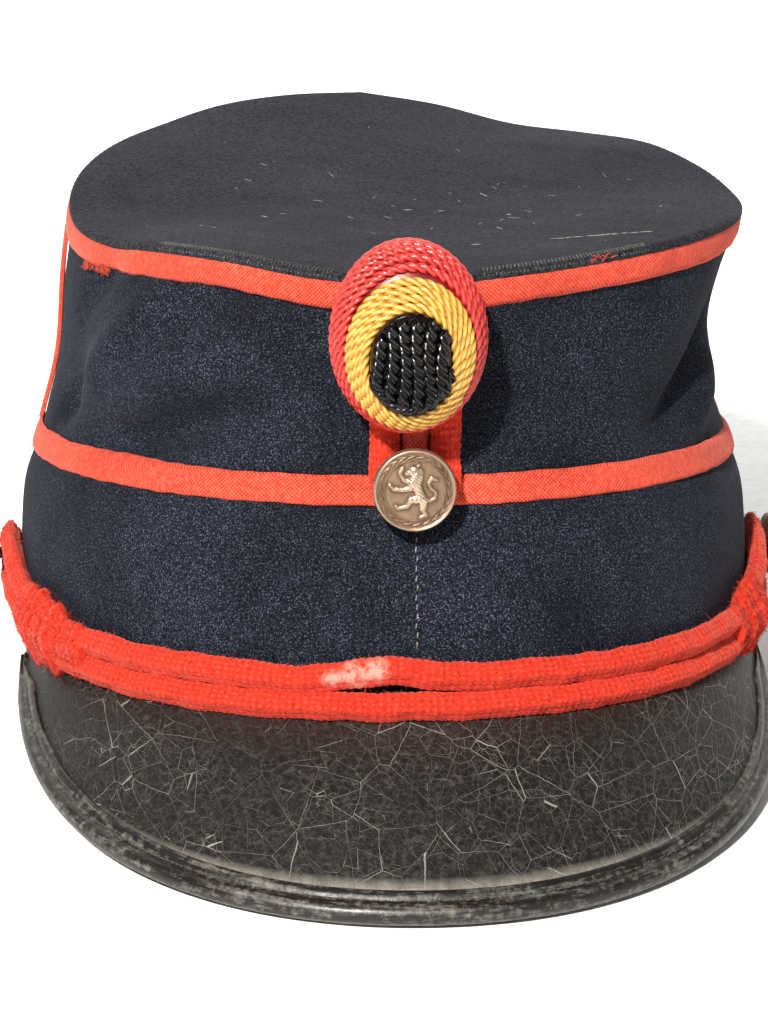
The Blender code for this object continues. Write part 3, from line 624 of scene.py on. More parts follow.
def wool_braid(name, colours):
    """Soft scarlet wool braid: brighter and hairier than the tape, rubbed pale where it has worn through."""
    made, add = new_material(name)
    where = add("TexCoord", out="Object")
    fuzz = add("TexNoise", {"Vector": where, "Scale": 500 / BRAID_FUZZ, "Detail": 4, "Roughness": 0.8})
    relief = add("Attribute", out="Vector", attribute_name="thread")
    relief = add("SeparateXYZ", {"Vector": relief}, "Z")
    relief = add("Math", {0: relief, 1: 0.18}, operation="MULTIPLY")
    hair = add("Math", {0: fuzz, 1: 1.1}, operation="MULTIPLY")
    level = add("Math", {0: relief, 1: hair}, operation="ADD")
    # Mostly the fuzz's random tone, with painted shade in the stitch hollows and painted highlight on the
    # raised stitches
    stops = ((0.36, colours.braid_dark), (0.66, colours.braid), (0.92, colours.braid_pale))
    base = add("ValToRGB", {"Fac": level}, stops=stops)
    wear = 0.0
    for x, height, reach in WORN_SPOTS:
        spot = CAP @ Vector((x, WORN_FRONT, height))
        apart = add("VectorMath", {0: where, 1: spot}, operation="SUBTRACT")
        far = add("VectorMath", {0: apart}, "Value", operation="LENGTH")
        far = add("Math", {0: far, 1: reach}, operation="DIVIDE")
        near = add("Math", {0: 1.0, 1: far}, operation="SUBTRACT", use_clamp=True)
        wear = add("Math", {0: wear, 1: near}, operation="MAXIMUM")
    tuft = add("TexNoise", {"Vector": where, "Scale": 500 / BRAID_TUFT, "Detail": 4, "Roughness": 0.75})
    tuft = add("Math", {0: tuft, 1: 0.36}, operation="SUBTRACT")
    tuft = add("Math", {0: tuft, 1: 6.0}, operation="MULTIPLY")
    wear = add("Math", {0: wear, 1: 1.5}, operation="MULTIPLY")
    worn = add("Math", {0: wear, 1: tuft}, operation="MULTIPLY", use_clamp=True)
    coloured = add("Mix", {0: worn, 6: base, 7: linear(colours.worn)}, 2, data_type="RGBA")
    matt = {"Roughness": 0.92, "Specular IOR Level": 0.2, "Sheen Weight": 0.35, "Sheen Roughness": 0.5}
    return finish_surface(
        made, fuzz, 0.00016, {"Base Color": coloured, "Sheen Tint": linear(colours.sheen), **matt}
    )


def silk_cord(name, stops, gloss, shine=0.6):
    """Twisted silk cord: fine parallel filaments drawn as faint stripes, with a painted highlight along each
    ply's crown and painted shade between the plies.
    """
    made, add = new_material(name)
    where = add("TexCoord", out="Object")
    along = add("Attribute", out="Vector", attribute_name="thread")
    along = add("SeparateXYZ", {"Vector": along}, None)
    strands = add("Math", {0: along["Y"], 1: 4.0}, operation="MULTIPLY")
    strands = add("Math", {0: strands}, operation="SINE")
    strands = add("Math", {0: strands, 1: 0.10}, operation="MULTIPLY")
    mottle = add("TexNoise", {"Vector": where, "Scale": 500 / SILK_MOTTLE, "Detail": 2, "Roughness": 0.5})
    height = add("Math", {0: strands, 1: mottle}, operation="ADD")
    # Painted highlight on the ply crowns and painted shade between the plies
    ply = add("Math", {0: along["Z"], 1: 0.62}, operation="MULTIPLY")
    fine = add("Math", {0: height, 1: 0.45}, operation="MULTIPLY")
    level = add("Math", {0: ply, 1: fine}, operation="ADD")
    base = add("ValToRGB", {"Fac": level}, stops=tuple(zip((0.15, 0.55, 0.85), stops)))
    return finish_surface(
        made, height, 0.00012, {"Base Color": base, "Roughness": gloss, "Specular IOR Level": shine}
    )


def old_brass(name, colours):
    """Stamped brass gone brown: metallic, dull in the dirty hollows and rubbed bright on the relief."""
    made, add = new_material(name)
    where = add("TexCoord", out="Object")
    raised = add("Attribute", out="Vector", attribute_name="thread")
    raised = add("SeparateXYZ", {"Vector": raised}, "X")
    stain = add("TexNoise", {"Vector": where, "Scale": 500 / BRASS_STAIN, "Detail": 4, "Roughness": 0.65})
    half_stain = add("Math", {0: stain, 1: 0.5}, operation="MULTIPLY")
    level = add("Math", {0: raised, 1: half_stain}, operation="ADD")
    stops = ((0.2, colours.dark), (0.62, colours.mid), (1.0, colours.pale))
    base = add("ValToRGB", {"Fac": level}, stops=stops)
    rough = add("MapRange", {0: level, 1: 0.2, 2: 1.1, 3: 0.55, 4: 0.27})
    return finish_surface(made, stain, 0.00005, {"Base Color": base, "Roughness": rough, "Metallic": 0.85})


def crazed_leather(name, colours, crazed):
    """Varnished calf on a stiff core: black varnish crazed into a fine pale net, with a few long cracks
    that run from band to edge, dust dulling it towards the binding and brown leather showing by the band.
    """
    made, add = new_material(name)
    where = add("TexCoord", out="Object")
    along = add("Attribute", out="Vector", attribute_name="thread")
    along = add("SeparateXYZ", {"Vector": along}, None)
    bend = add("TexNoise", {"Vector": where, "Scale": 60.0, "Detail": 6, "Roughness": 0.62}, "Color")
    bend = add("SeparateXYZ", {"Vector": bend}, None)
    patchy = add("TexNoise", {"Vector": where, "Scale": 500 / LEATHER_PATCH, "Detail": 3, "Roughness": 0.65})
    patchy = add("Math", {0: patchy, 1: 0.22}, operation="SUBTRACT", use_clamp=True)
    lines = 0.0
    for across, outwards, wander, width, strength in CRACK_NETS:
        spot = {"Z": across}
        for axis, size, shift in (("X", across, wander), ("Y", outwards, wander / 45)):
            bent = add("Math", {0: bend[axis], 1: shift}, operation="MULTIPLY")
            bent = add("Math", {0: along[axis], 1: bent}, operation="ADD")
            spot[axis] = add("Math", {0: bent, 1: size}, operation="DIVIDE")
        net = {"Vector": add("CombineXYZ", spot), "Scale": 1.0}
        net = add("TexVoronoi", net, "Distance", feature="DISTANCE_TO_EDGE")
        ragged = add("Math", {0: patchy, 1: width * 3.2}, operation="MULTIPLY")
        line = add("MapRange", {0: net, 1: 0.0, 2: ragged, 3: strength, 4: 0.0})
        lines = add("Math", {0: lines, 1: line}, operation="MAXIMUM")
    cracks = add("Math", {0: lines, 1: crazed}, operation="MULTIPLY", use_clamp=True)
    grime = add("TexNoise", {"Vector": where, "Scale": 500 / LEATHER_GRIME, "Detail": 6, "Roughness": 0.8})
    stops = ((0.38, colours.dark), (0.52, colours.mid), (0.68, colours.pale))
    base = add("ValToRGB", {"Fac": grime}, stops=stops)
    edge = add("MapRange", {0: along["Y"], 1: 0.845, 2: 0.905, 3: 0.0, 4: 1.6})
    dust = add("TexNoise", {"Vector": where, "Scale": 500 / LEATHER_DUST, "Detail": 4, "Roughness": 0.7})
    dusty = add("Math", {0: edge, 1: dust}, operation="MULTIPLY", use_clamp=True)
    base = add("Mix", {0: dusty, 6: base, 7: linear(colours.dust)}, 2, data_type="RGBA")
    brown = add("MapRange", {0: along["Y"], 1: 0.0, 2: 0.3, 3: 0.35, 4: 0.0})
    base = add("Mix", {0: brown, 6: base, 7: linear(colours.brown)}, 2, data_type="RGBA")
    coloured = add("Mix", {0: cracks, 6: base, 7: linear(colours.crack)}, 2, data_type="RGBA")
    height = add("Math", {0: grime, 1: 0.35}, operation="MULTIPLY")
    height = add("Math", {0: height, 1: cracks}, operation="SUBTRACT")
    rough = add("MapRange", {0: grime, 1: 0.3, 2: 0.7, 3: 0.36, 4: 0.62})
    varnish = {"Specular IOR Level": 0.32, "Coat Weight": 0.04, "Coat Roughness": 0.35}
    return finish_surface(made, height, 0.00022, {"Base Color": coloured, "Roughness": rough, **varnish})


def rubbed_binding(name, colours):
    """Thin glazed sheepskin rolled over the edge: smoother and blacker than the peak, rubbed grey."""
    made, add = new_material(name)
    where = add("TexCoord", out="Object")
    along = add("Attribute", out="Vector", attribute_name="thread")
    along = add("Mapping", {"Vector": along, "Scale": (0.0002, 0.0022, 0.0022)})
    grain = add("TexNoise", {"Vector": where, "Scale": 500 / BINDING_GRAIN, "Detail": 4, "Roughness": 0.7})
    scuff = add("TexNoise", {"Vector": along, "Scale": 500 / BINDING_SCUFF, "Detail": 5, "Roughness": 0.75})
    fine = add("TexNoise", {"Vector": where, "Scale": 500 / BINDING_FINE, "Detail": 4, "Roughness": 0.7})
    most = add("Math", {0: scuff, 1: 0.55}, operation="MULTIPLY")
    rest = add("Math", {0: fine, 1: 0.45}, operation="MULTIPLY")
    scuffed = add("Math", {0: most, 1: rest}, operation="ADD")
    scuffed = add("MapRange", {0: scuffed, 1: 0.49, 2: 0.66, 3: 0.0, 4: 0.65})
    base = add("ValToRGB", {"Fac": grain}, stops=((0.35, colours.dark), (0.7, colours.mid)))
    coloured = add("Mix", {0: scuffed, 6: base, 7: linear(colours.dust)}, 2, data_type="RGBA")
    rough = add("MapRange", {0: scuff, 1: 0.35, 2: 0.7, 3: 0.3, 4: 0.6})
    return finish_surface(made, grain, 0.00012, {"Base Color": coloured, "Roughness": rough})


def linen_thread(name, colour):
    """Waxed linen sewing thread: dull and a little hairy."""
    made, add = new_material(name)
    where = add("TexCoord", out="Object")
    fuzz = add("TexNoise", {"Vector": where, "Scale": 500 / THREAD_FUZZ, "Detail": 2, "Roughness": 0.6})
    base = add("ValToRGB", {"Fac": fuzz}, stops=((0.3, "#24221F"), (0.6, colour)))
    return finish_surface(made, fuzz, 0.0001, {"Base Color": base, "Roughness": 0.8})


def pale_paper(name, colour):
    """Matt white background paper."""
    made, add = new_material(name)
    where = add("TexCoord", out="Object")
    fibre = add("TexNoise", {"Vector": where, "Scale": 500 / PAPER_FIBRE, "Detail": 2, "Roughness": 0.5})
    base = add("ValToRGB", {"Fac": fibre}, stops=((0.2, "#EDEDEB"), (0.6, colour)))
    return finish_surface(made, None, 0, {"Base Color": base, "Roughness": 0.9})


def colour_property(name, text, code):
    return bpy.props.StringProperty(name=name, description=text, default=code, maxlen=7)


class KepiWool(bpy.types.PropertyGroup):
    # Dark and pale carry painted shade in the nap's hollows and painted light on its ends; fleck is the
    # colour of the painted glints
    dark: colour_property("Dark", "The wool's colour in its hollows", "#06070C")
    mid: colour_property("Middle", "The wool's own colour", "#0E111A")
    pale: colour_property("Pale", "The ends of the nap", "#262B39")
    fleck: colour_property("Fleck", "Single pale fibres", "#5A6174")
    dust: colour_property("Dust", "Dust and fading on the top", "#606166")
    lint: colour_property("Lint", "Specks of lint on the top", "#A9A8A2")
    sheen: colour_property("Sheen", "The light on the nap", "#8E9AB4")


class KepiReds(bpy.types.PropertyGroup):
    # Dark and pale carry painted shade in the weave's hollows and painted highlight on the tape's raised
    # threads
    dark: colour_property("Dark", "Scarlet in the weave's hollows", "#98251A")
    mid: colour_property("Middle", "Scarlet wool", "#CC422E")
    pale: colour_property("Pale", "Scarlet on the raised threads", "#E2664E")
    # Braid dark and braid pale carry painted shade in the stitch hollows and painted highlight on the raised
    # stitches, over random tone
    braid_dark: colour_property("Braid dark", "The braid in its hollows", "#7E1209")
    braid: colour_property("Braid", "The braid's own colour", "#C42E1A")
    braid_pale: colour_property("Braid pale", "The braid's raised stitches", "#E0503A")
    worn: colour_property("Worn", "Where the wool is rubbed through", "#CC877A")
    sheen: colour_property("Sheen", "The light on the wool", "#FFA090")


class KepiSilk(bpy.types.PropertyGroup):
    # Each silk's darker and paler colours are painted shade between the plies and painted highlight on their
    # crowns
    red_ply_shade: colour_property("Red dark", "Red silk between the plies", "#5E0A0C")
    red: colour_property("Red", "Red silk", "#AE1E1C")
    red_ply_highlight: colour_property("Red pale", "Red silk on the plies", "#D03C32")
    yellow_ply_shade: colour_property("Yellow dark", "Yellow silk between the plies", "#6E400C")
    yellow: colour_property("Yellow", "Yellow silk", "#B27E26")
    yellow_ply_highlight: colour_property("Yellow pale", "Yellow silk on the plies", "#CCA24C")
    black_ply_shade: colour_property("Black dark", "Black silk between the plies", "#010101")
    black: colour_property("Black", "Black silk", "#040405")
    black_ply_highlight: colour_property("Black pale", "Black silk on the plies", "#0A0A0B")


class KepiHard(bpy.types.PropertyGroup):
    dark: colour_property("Dark", "Black varnish", "#0C0C0C")
    mid: colour_property("Middle", "Varnish dulled by age", "#161615")
    pale: colour_property("Pale", "Rubbed varnish", "#3B3A38")
    crack: colour_property("Crack", "The pale lines of the crazing", "#A3A19B")
    dust: colour_property("Dust", "Dust by the edge", "#8A877E")
    brown: colour_property("Brown", "Leather by the band", "#33231C")


class KepiBrass(bpy.types.PropertyGroup):
    dark: colour_property("Dark", "Dirt in the relief", "#4E3E30")
    mid: colour_property("Middle", "Brown old brass", "#8E7662")
    pale: colour_property("Pale", "Rubbed bright brass", "#B9A68F")


class KepiThreads(bpy.types.PropertyGroup):
    lint: colour_property("Lint", "Hairs on the top", "#B4B0A6")
    overcast: colour_property("Overcast", "Stitches on the top's edge", "#6A6862")
    binding: colour_property("Binding", "Stitches in the binding's groove", "#4A4844")
    seam: colour_property("Seam", "Stitches in the front seam", "#8A8678")


class KepiCap(bpy.types.PropertyGroup):
    wool: bpy.props.PointerProperty(type=KepiWool, name="Wool", description="Colours of the cloth")
    reds: bpy.props.PointerProperty(type=KepiReds, name="Reds", description="Colours of tapes and cords")
    silks: bpy.props.PointerProperty(type=KepiSilk, name="Silk", description="Colours of the cockade")
    hard: bpy.props.PointerProperty(type=KepiHard, name="Leather", description="Colours of the peak")
    brass: bpy.props.PointerProperty(type=KepiBrass, name="Brass", description="Colours of the buttons")
    threads: bpy.props.PointerProperty(type=KepiThreads, name="Threads", description="Colours of the threads")
    tape_width: bpy.props.FloatProperty(
        name="Tape width", description="Width of the red tapes", default=0.006, unit="LENGTH"
    )
    tape_thick: bpy.props.FloatProperty(
        name="Tape thickness", description="Thickness of the red tapes", default=0.0011, unit="LENGTH"
    )
    cord_tall: bpy.props.FloatProperty(
        name="Chin cord height", description="Height of one strand", default=0.0056, unit="LENGTH"
    )
    cord_thick: bpy.props.FloatProperty(
        name="Chin cord thickness", description="Thickness of one strand", default=0.0046, unit="LENGTH"
    )
    silk: bpy.props.FloatProperty(
        name="Silk cord", description="Radius of the cockade's thin cords", default=0.00100, unit="LENGTH"
    )


def settings():
    return bpy.context.scene.kepi_cap


def shared(name, make, *values):
    """A material that several pieces share."""
    return bpy.data.materials.get(name) or make(name, *values)


def wool_material(faded=False):
    return shared("faded_wool" if faded else "fulled_wool", fulled_wool, settings().wool, float(faded))


def tape_material():
    return shared("worsted_tape", woven_tape, settings().reds)


def braid_material():
    return shared("wool_braid", wool_braid, settings().reds)


def brass_material():
    return shared("old_brass", old_brass, settings().brass)


# Walls and top


class KEPI_OT_band(bpy.types.Operator):
    """The stiff lower wall, with the pressed seam down its front"""

    bl_idname = "kepi.band"
    bl_label = "Band"

    def execute(self, context):
        angle = np.linspace(-180, 180, 420, endpoint=False)[:, None]
        rows = np.linspace(0, 1, 44)[None]
        seam = np.exp(-((angle * 1.6) ** 2)) + np.exp(-(((np.abs(angle) - 180) * 1.6) ** 2))
        ripple = 0.22 * waves(angle * 0.22, rows * 6, 4) - 0.55 * seam
        soft = 0.35 * np.exp(-rows / 0.03)
        outer = band_wall(angle, rows, ripple - soft)[0]
        inner = band_wall(angle, np.linspace(1, 0, 12)[None], -CLOTH + 0 * angle)[0]
        rings = np.concatenate([outer, inner], 1)
        points, faces = shell(rings, True)
        piece("band_cloth", points, faces, wool_material(), ["band"], sharp=60)
        return {"FINISHED"}


class KEPI_OT_crown(bpy.types.Operator):
    """The soft upper wall with its dents and folds"""

    bl_idname = "kepi.crown"
    bl_label = "Crown"

    def execute(self, context):
        angle = np.linspace(-180, 180, 420, endpoint=False)[:, None]
        rows = np.linspace(0.002, 0.965, 70)[None]
        ripple = 0.35 * waves(angle * 0.16, rows * 5, 8, 9) + 0.12 * waves(angle * 0.6, rows * 18, 9, 9)
        outer = crown_wall(angle, rows, ripple)[0]
        inner = crown_wall(angle, np.linspace(0.965, 0.002, 14)[None], -CLOTH + 0 * angle)[0]
        points, faces = shell(np.concatenate([outer, inner], 1), True)
        piece("crown_cloth", points, faces, wool_material(), ["crown"], sharp=60)
        return {"FINISHED"}


# The top's edge rolls over the crown: turns and reaches of its section, and how far it goes out and down
ROLL = ((60, 1.0), (20, 1.0), (-25, 1.0), (-70, 0.9))
ROLL_OUT = 1.25
ROLL_DOWN = 1.2
LINT_HAIRS = 46
LONG_HAIR = ((33.0, -67.0), (40.2, -66.1), (47.4, -65.2))


class KEPI_OT_top(bpy.types.Operator):
    """The sunken top with its rolled, overcast edge"""

    bl_idname = "kepi.top"
    bl_label = "Top"

    def execute(self, context):
        angle = np.linspace(-180, 180, 360, endpoint=False)[:, None]
        shares = np.concatenate([np.linspace(0.02, 0.93, 46), np.linspace(0.945, 0.998, 6)])[None]
        upper = top_face(angle, shares)
        x, y = upper[..., 0], upper[..., 1]
        fade = np.clip(1 - shares**8, 0, 1)
        relief = 0.45 * waves(x * 0.06, y * 0.06, 21, 8) + 0.16 * waves(x * 0.3, y * 0.3, 22, 8)
        upper[..., 2] += relief * fade
        rim, out = crown_wall(angle, 1.0)
        overcast = 0.10 * np.sin(np.radians(angle) * 170)
        roll = []
        for turn, reach in ROLL:
            away = (math.cos(math.radians(turn)) * ROLL_OUT + overcast) * reach
            spot = rim + out * away[..., None]
            spot[..., 2] += ROLL_DOWN * (math.sin(math.radians(turn)) * reach - 1)
            roll.append(spot)
        under = top_face(angle, np.concatenate([[0.985], np.linspace(0.94, 0.02, 12)])[None], CLOTH)
        rings = np.concatenate([upper, *roll, under], 1)
        faces = turned_faces(*rings.shape[:2])
        # The two small caps at the centre face into the cloth
        faces[-2:] = [cap[::-1] for cap in faces[-2:]]
        piece("top_cloth", rings, faces, wool_material(True), ["top"], sharp=70)
        self.add_overcasting()
        self.add_lint()
        return {"FINISHED"}

    def add_lint(self):
        """Loose pale hairs that have settled on the top, and one long rubbed thread."""
        draw = np.random.default_rng(12)
        parts = []
        for i in range(LINT_HAIRS):
            x, y = draw.normal(8, 28), draw.normal(-25, 30)
            turn, size = draw.uniform(0, math.tau), draw.uniform(0.8, 3.2)
            if i < len(LONG_HAIR):
                x, y = LONG_HAIR[i]
                turn, size = 0.10, 6.6
            along = np.linspace(0, size, 6)
            xs = x + along * math.cos(turn) + 0.2 * np.sin(along + i)
            ys = y + along * math.sin(turn) + 0.25 * np.cos(along * 1.3)
            away = np.degrees(np.arctan2(xs - TOP_SHIFT[0], -(ys - TOP_SHIFT[1]) * TOP_HALF[0] / TOP_HALF[1]))
            share = np.hypot((xs - TOP_SHIFT[0]) / TOP_HALF[0], (ys - TOP_SHIFT[1]) / TOP_HALF[1])
            if share.max() > 0.93:
                continue
            path = top_face(away, share, -0.42)
            upright = np.tile((0, 0, 1.0), (6, 1))
            parts.append(rope(path, upright, draw.uniform(0.05, 0.09), 2, 3.0, 5, 0.5, 0.5))
        points, faces, coords = joined(parts)
        lint = linen_thread("pale_lint", settings().threads.lint)
        piece("top_lint", points, faces, lint, coords=coords)

    def add_overcasting(self):
        """Small slanting stitches that hold the top's edge down over the tape."""
        parts = []
        for spot in np.arange(-44, 38, 0.60):
            if abs(spot + 1.5) < 11:
                continue
            rim, out = crown_wall(spot, 1.0)
            inner = top_face(spot + 0.3, 0.985)[0] + (0, 0, 0.15)
            path = np.array([inner, rim[0] + (0, 0, 0.2), rim[0] + out[0] * ROLL_OUT + (0, 0, -1.0)])
            parts.append(rope(path, np.tile(out[0] + (0, 0, 1), (3, 1)), 0.12, 2, 1.2, 6, 0.5))
        points, faces, coords = joined(parts)
        silk = linen_thread("grey_silk", settings().threads.overcast)
        piece("top_stitches", points, faces, silk, coords=coords)


# Tapes

# How far a tape's back and its edges lie off the cloth
TAPE_BACK = 0.25
TAPE_EDGE = 0.45


def tape_solid(spots, rows, wrap, width):
    """A thin tape through rows of points. Each row is (inner points, outer points) across the tape."""
    inner, outer = rows
    rings = np.concatenate([inner, outer[:, ::-1]], 1)
    points, faces = shell(rings, wrap)
    across = np.linspace(0, width, inner.shape[1])
    u = np.repeat(spots[:, None], inner.shape[1] * 2, 1)
    v = np.tile(np.concatenate([across, across[::-1]]), (len(spots), 1))
    return points, faces, np.stack([u, v, 0 * u], -1)


def tape_rows(degrees, heights, thick, uneven=0.0):
    """Inner and outer points of a tape that lies on the cloth and swells between its edges."""
    degrees, heights = np.broadcast_arrays(degrees, heights)
    bulge = np.sin(np.linspace(0, math.pi, heights.shape[1])) ** 0.35
    inner = cloth_wall(degrees, heights, TAPE_BACK + 0 * heights)[0]
    outer = cloth_wall(degrees, heights, TAPE_EDGE + (thick - 0.2) * bulge[None] + uneven)[0]
    return inner, outer


class KEPI_OT_tapes(bpy.types.Operator):
    """The woven tapes on the seams and their frayed ends"""

    bl_idname = "kepi.tapes"
    bl_label = "Tapes"

    def execute(self, context):
        width = settings().tape_width / MM
        thick = settings().tape_thick / MM
        angle = np.linspace(-180, 180, 600, endpoint=False)
        around = np.radians(angle) * 86
        levels = np.linspace(-0.5, 0.5, 11)[None]
        edge = 0.16 * waves(angle[:, None] * 0.9, 0 * levels, 31, 8)
        seam = BAND_HEIGHT + levels * width + edge
        high = rim_height(angle)[:, None] - ROLL_DOWN
        top = high - width / 2 + levels * width + edge * (0.5 - levels)
        for name, heights, seed in (("seam_tape", seam, 32), ("top_tape", top, 33)):
            uneven = 0.10 * waves(angle[:, None] * 2.2, heights, seed)
            rows = tape_rows(angle[:, None], heights, thick, uneven)
            points, faces, coords = tape_solid(around, rows, True, width)
            piece(name + "_cloth", points, faces, tape_material(), [name], coords=coords)
        self.add_uprights(width, thick)
        self.add_frays(width)
        return {"FINISHED"}

    def add_uprights(self, width, thick):
        for name, centre in (("front_tape", 0), ("left_tape", 90), ("right_tape", -90), ("back_tape", 180)):
            rise = np.linspace(0, 1, 90)[:, None]
            low, high = BAND_HEIGHT + width / 2 + 0.1, rim_height(centre) - width - ROLL_DOWN
            heights = mix(low, high, rise)
            levels = np.linspace(-0.5, 0.5, 11)[None]
            radius = TOP_HALF[1] if centre in (0, 180) else TOP_HALF[0]
            span = SEAM_HALF[0] if centre in (0, 180) else SEAM_HALF[1]
            waver = 0.08 * waves(heights * 0.25, 0 * levels, int(radius))
            degrees = centre + np.degrees(levels * width / span) + waver
            rows = tape_rows(degrees, heights, thick)
            points, faces, coords = tape_solid(heights[:, 0], rows, False, width)
            piece(name + "_cloth", points, faces, tape_material(), [name], coords=coords)

    def add_frays(self, width):
        """Loose yarns where the tapes have frayed."""
        draw = np.random.default_rng(5)
        parts = []
        for centre, spread, count, low in ((-62, 2.0, 46, True), (-66, 1.2, 30, True), (28, 3.0, 16, False)):
            for _ in range(count):
                spot = centre + draw.normal(0, spread * 0.5)
                high = float(rim_height(spot)) - ROLL_DOWN - (width if low else 0)
                height = high + draw.uniform(-0.2, 1.0) * (1 if low else -1)
                way = -1 if low else 1
                steps = np.linspace(0, 1, 5)
                drift = draw.normal(0, 0.9)
                fall = draw.uniform(0.4, 1.9)
                spots = spot + drift * steps**1.5
                heights = height + way * fall * steps
                path, outs = cloth_wall(spots, heights, 1.0 + draw.uniform(0.1, 0.8) * steps)
                parts.append(rope(path, outs, draw.uniform(0.10, 0.2), 2, 0.9, 6, 0.5, 0.6))
        points, faces, coords = joined(parts)
        piece("tape_frays", points, faces, tape_material(), coords=coords)


# Cockade

COCKADE_HALF = (15.3, 18.8)
COCKADE_X = -2.2
COCKADE_HEIGHT = 75.5
COCKADE_DEPTH = 16.0
COCKADE_NOD = math.radians(13)
DOME = (
    # way forward, depth, radius
    (0.00, 0.00, 0.90),
    (0.18, 0.15, 0.97),
    (0.34, 0.33, 0.985),
    (0.50, 0.56, 0.885),
    (0.62, 0.69, 0.76),
    (0.78, 0.80, 0.585),
    (0.90, 0.86, 0.40),
    (1.00, 0.90, 0.0),
)


def cockade_point(turn, way, lift=0.0):
    """Points of the cockade's dome in the cap's frame, and the dome's outward directions."""
    turn, way = np.broadcast_arrays(np.asarray(turn, float), np.asarray(way, float))

    def dome(t, w):
        depth = table_value(DOME, w, 1) * COCKADE_DEPTH
        radius = table_value(DOME, w, 2)
        x = COCKADE_HALF[0] * radius * np.sin(t)
        z = COCKADE_HALF[1] * radius * np.cos(t) - 1.9 * smooth_step(0.42, 0.9, w)
        back = math.tan(COCKADE_NOD) * (COCKADE_HALF[1] + z) * np.clip(1 - w / 0.5, 0, 1) * 0.75
        return np.stack([x, back - depth, z], -1)

    spot = dome(turn, way)
    low, high = np.clip(way - 0.02, 0, 0.97), np.clip(way + 0.02, 0.03, 1)
    out = unit(np.cross(dome(turn + 0.05, way) - dome(turn - 0.05, way), dome(turn, high) - dome(turn, low)))
    flip = np.sum(out * (spot - (0, 2, 0)), -1, keepdims=True) < 0
    out = np.where(flip, -out, out)
    spot = spot + out * np.asarray(lift)[..., None]
    nod = np.array(Matrix.Rotation(COCKADE_NOD, 3, "X"))
    foot = COCKADE_HEIGHT - COCKADE_HALF[1]
    wall = cloth_wall(0.0, foot, 3.9)[0][0, 1]
    origin = np.array([COCKADE_X, wall - COCKADE_HALF[1] * math.sin(COCKADE_NOD), COCKADE_HEIGHT])
    return spot @ nod.T + origin, out @ nod.T


class KEPI_OT_cockade(bpy.types.Operator):
    """Silk cords wound over an oval dome, and thick black cords laid upright at its middle"""

    bl_idname = "kepi.cockade"
    bl_label = "Cockade"

    def execute(self, context):
        radius = settings().silk / MM
        silks = settings().silks
        red = silk_cord("red_silk", (silks.red_ply_shade, silks.red, silks.red_ply_highlight), 0.35)
        yellow = silk_cord("yellow_silk", (silks.yellow_ply_shade, silks.yellow, silks.yellow_ply_highlight), 0.38)
        black = silk_cord("black_silk", (silks.black_ply_shade, silks.black, silks.black_ply_highlight), 0.22, 0.35)
        self.wind("cockade_red", (0.04, 0.53), 7, radius, red, "cord_red", -0.55)
        self.wind("cockade_yellow", (0.575, 0.80), 4, radius, yellow, "cord_yellow", -0.1)
        self.add_core("cockade_red_core", 0.0, 0.60, red, "cord_red", back=1.1)
        self.add_core("cockade_yellow_core", 0.60, 0.86, yellow, "cord_yellow")
        self.add_core("cockade_black_core", 0.83, 0.99, black, "cord_black", 0.45)
        self.add_black(black)
        return {"FINISHED"}

    def wind(self, node, ways, turns, radius, material, slot, lift):
        """One cord wound round and round from back to front."""
        share = np.linspace(0, 1, turns * 90)
        turn = math.tau * turns * share + 2.2
        path, outs = cockade_point(turn, mix(*ways, share), lift)
        points, faces, coords = rope(path, outs, radius, 3, 6.3, 16, 0.30, 1.0, 0.50)
        piece(node + "_cords", points, faces, material, [node], coords=coords)

    def add_core(self, name, low, high, material, slot, lift=0.0, back=0.0):
        """The padding under the cords, which may reach further back to lie on the cap."""
        turn = np.linspace(0, math.tau, 72, endpoint=False)[:, None]
        way = np.linspace(low, high, 16)[None]
        outer = cockade_point(turn, way, lift - 1.0)[0]
        outer[:, 0] += np.array((0, math.cos(COCKADE_NOD), math.sin(COCKADE_NOD))) * back
        faces = turned_faces(*outer.shape[:2])
        # The core carries no ply height, so through the gaps between the cords it shows the silk's darker,
        # painted-shade colours
        piece(name, outer, faces, material, coords=np.zeros(outer.shape))

    def add_black(self, material):
        """Upright black cords side by side over the middle, and one that curls under their feet."""
        parts = []
        half_x, half_z = 7.7, 9.5
        for i in range(6):
            x = (i - 2.5) * 2.42 - 0.3
            reach = half_z * (1 - (abs(x) / half_x) ** 2.4) ** (1 / 2.4) - 0.3
            z = np.linspace(-reach, reach, 60)
            parts.append(self.black_cord(x + 0.35 * np.sin(z * 0.35 + i), z, 0.35))
        turn = np.linspace(math.radians(95), math.radians(262), 60)
        curl_x = (half_x - 0.4) * np.sin(turn)
        curl_z = (half_z - 0.5) * np.cos(turn)
        parts.append(self.black_cord(curl_x, curl_z, 0.15))
        points, faces, coords = joined(parts)
        piece("cockade_black_cords", points, faces, material, ["cockade_black"], coords=coords)

    def black_cord(self, x, z, lift):
        """A thick cord along a line given across and up the cockade's face."""
        turn = np.arctan2(x / COCKADE_HALF[0], z / COCKADE_HALF[1])
        share = np.hypot(x / COCKADE_HALF[0], z / COCKADE_HALF[1])
        ways = np.linspace(0.5, 1.0, 200)
        way = np.interp(-share, -table_value(DOME, ways, 2), ways)
        path = cockade_point(turn, way, lift)[0]
        outs = np.tile(cockade_point(0.0, 0.99)[1].reshape(1, 3), (len(path), 1))
        return rope(path, outs, 1.40, 3, -6.6, 30, 0.22, 1.2, 0.5)


# Loop and buttons

BUTTON_HEIGHT = 44.4
BUTTON_X = -0.7
BUTTON_RADIUS = 8.3
BUTTON_THICK = 3.6
BUTTON_OFFSET = 1.7
# Radius, thickness and shank of the side buttons
SIDE_BUTTON = (7.2, 3.2, 5.2)
LOOP_HALF = 2.9
LOOP_RISE = 2.0
LOOP_DEPTH = 6.7
LOOP_STAND = 2.5

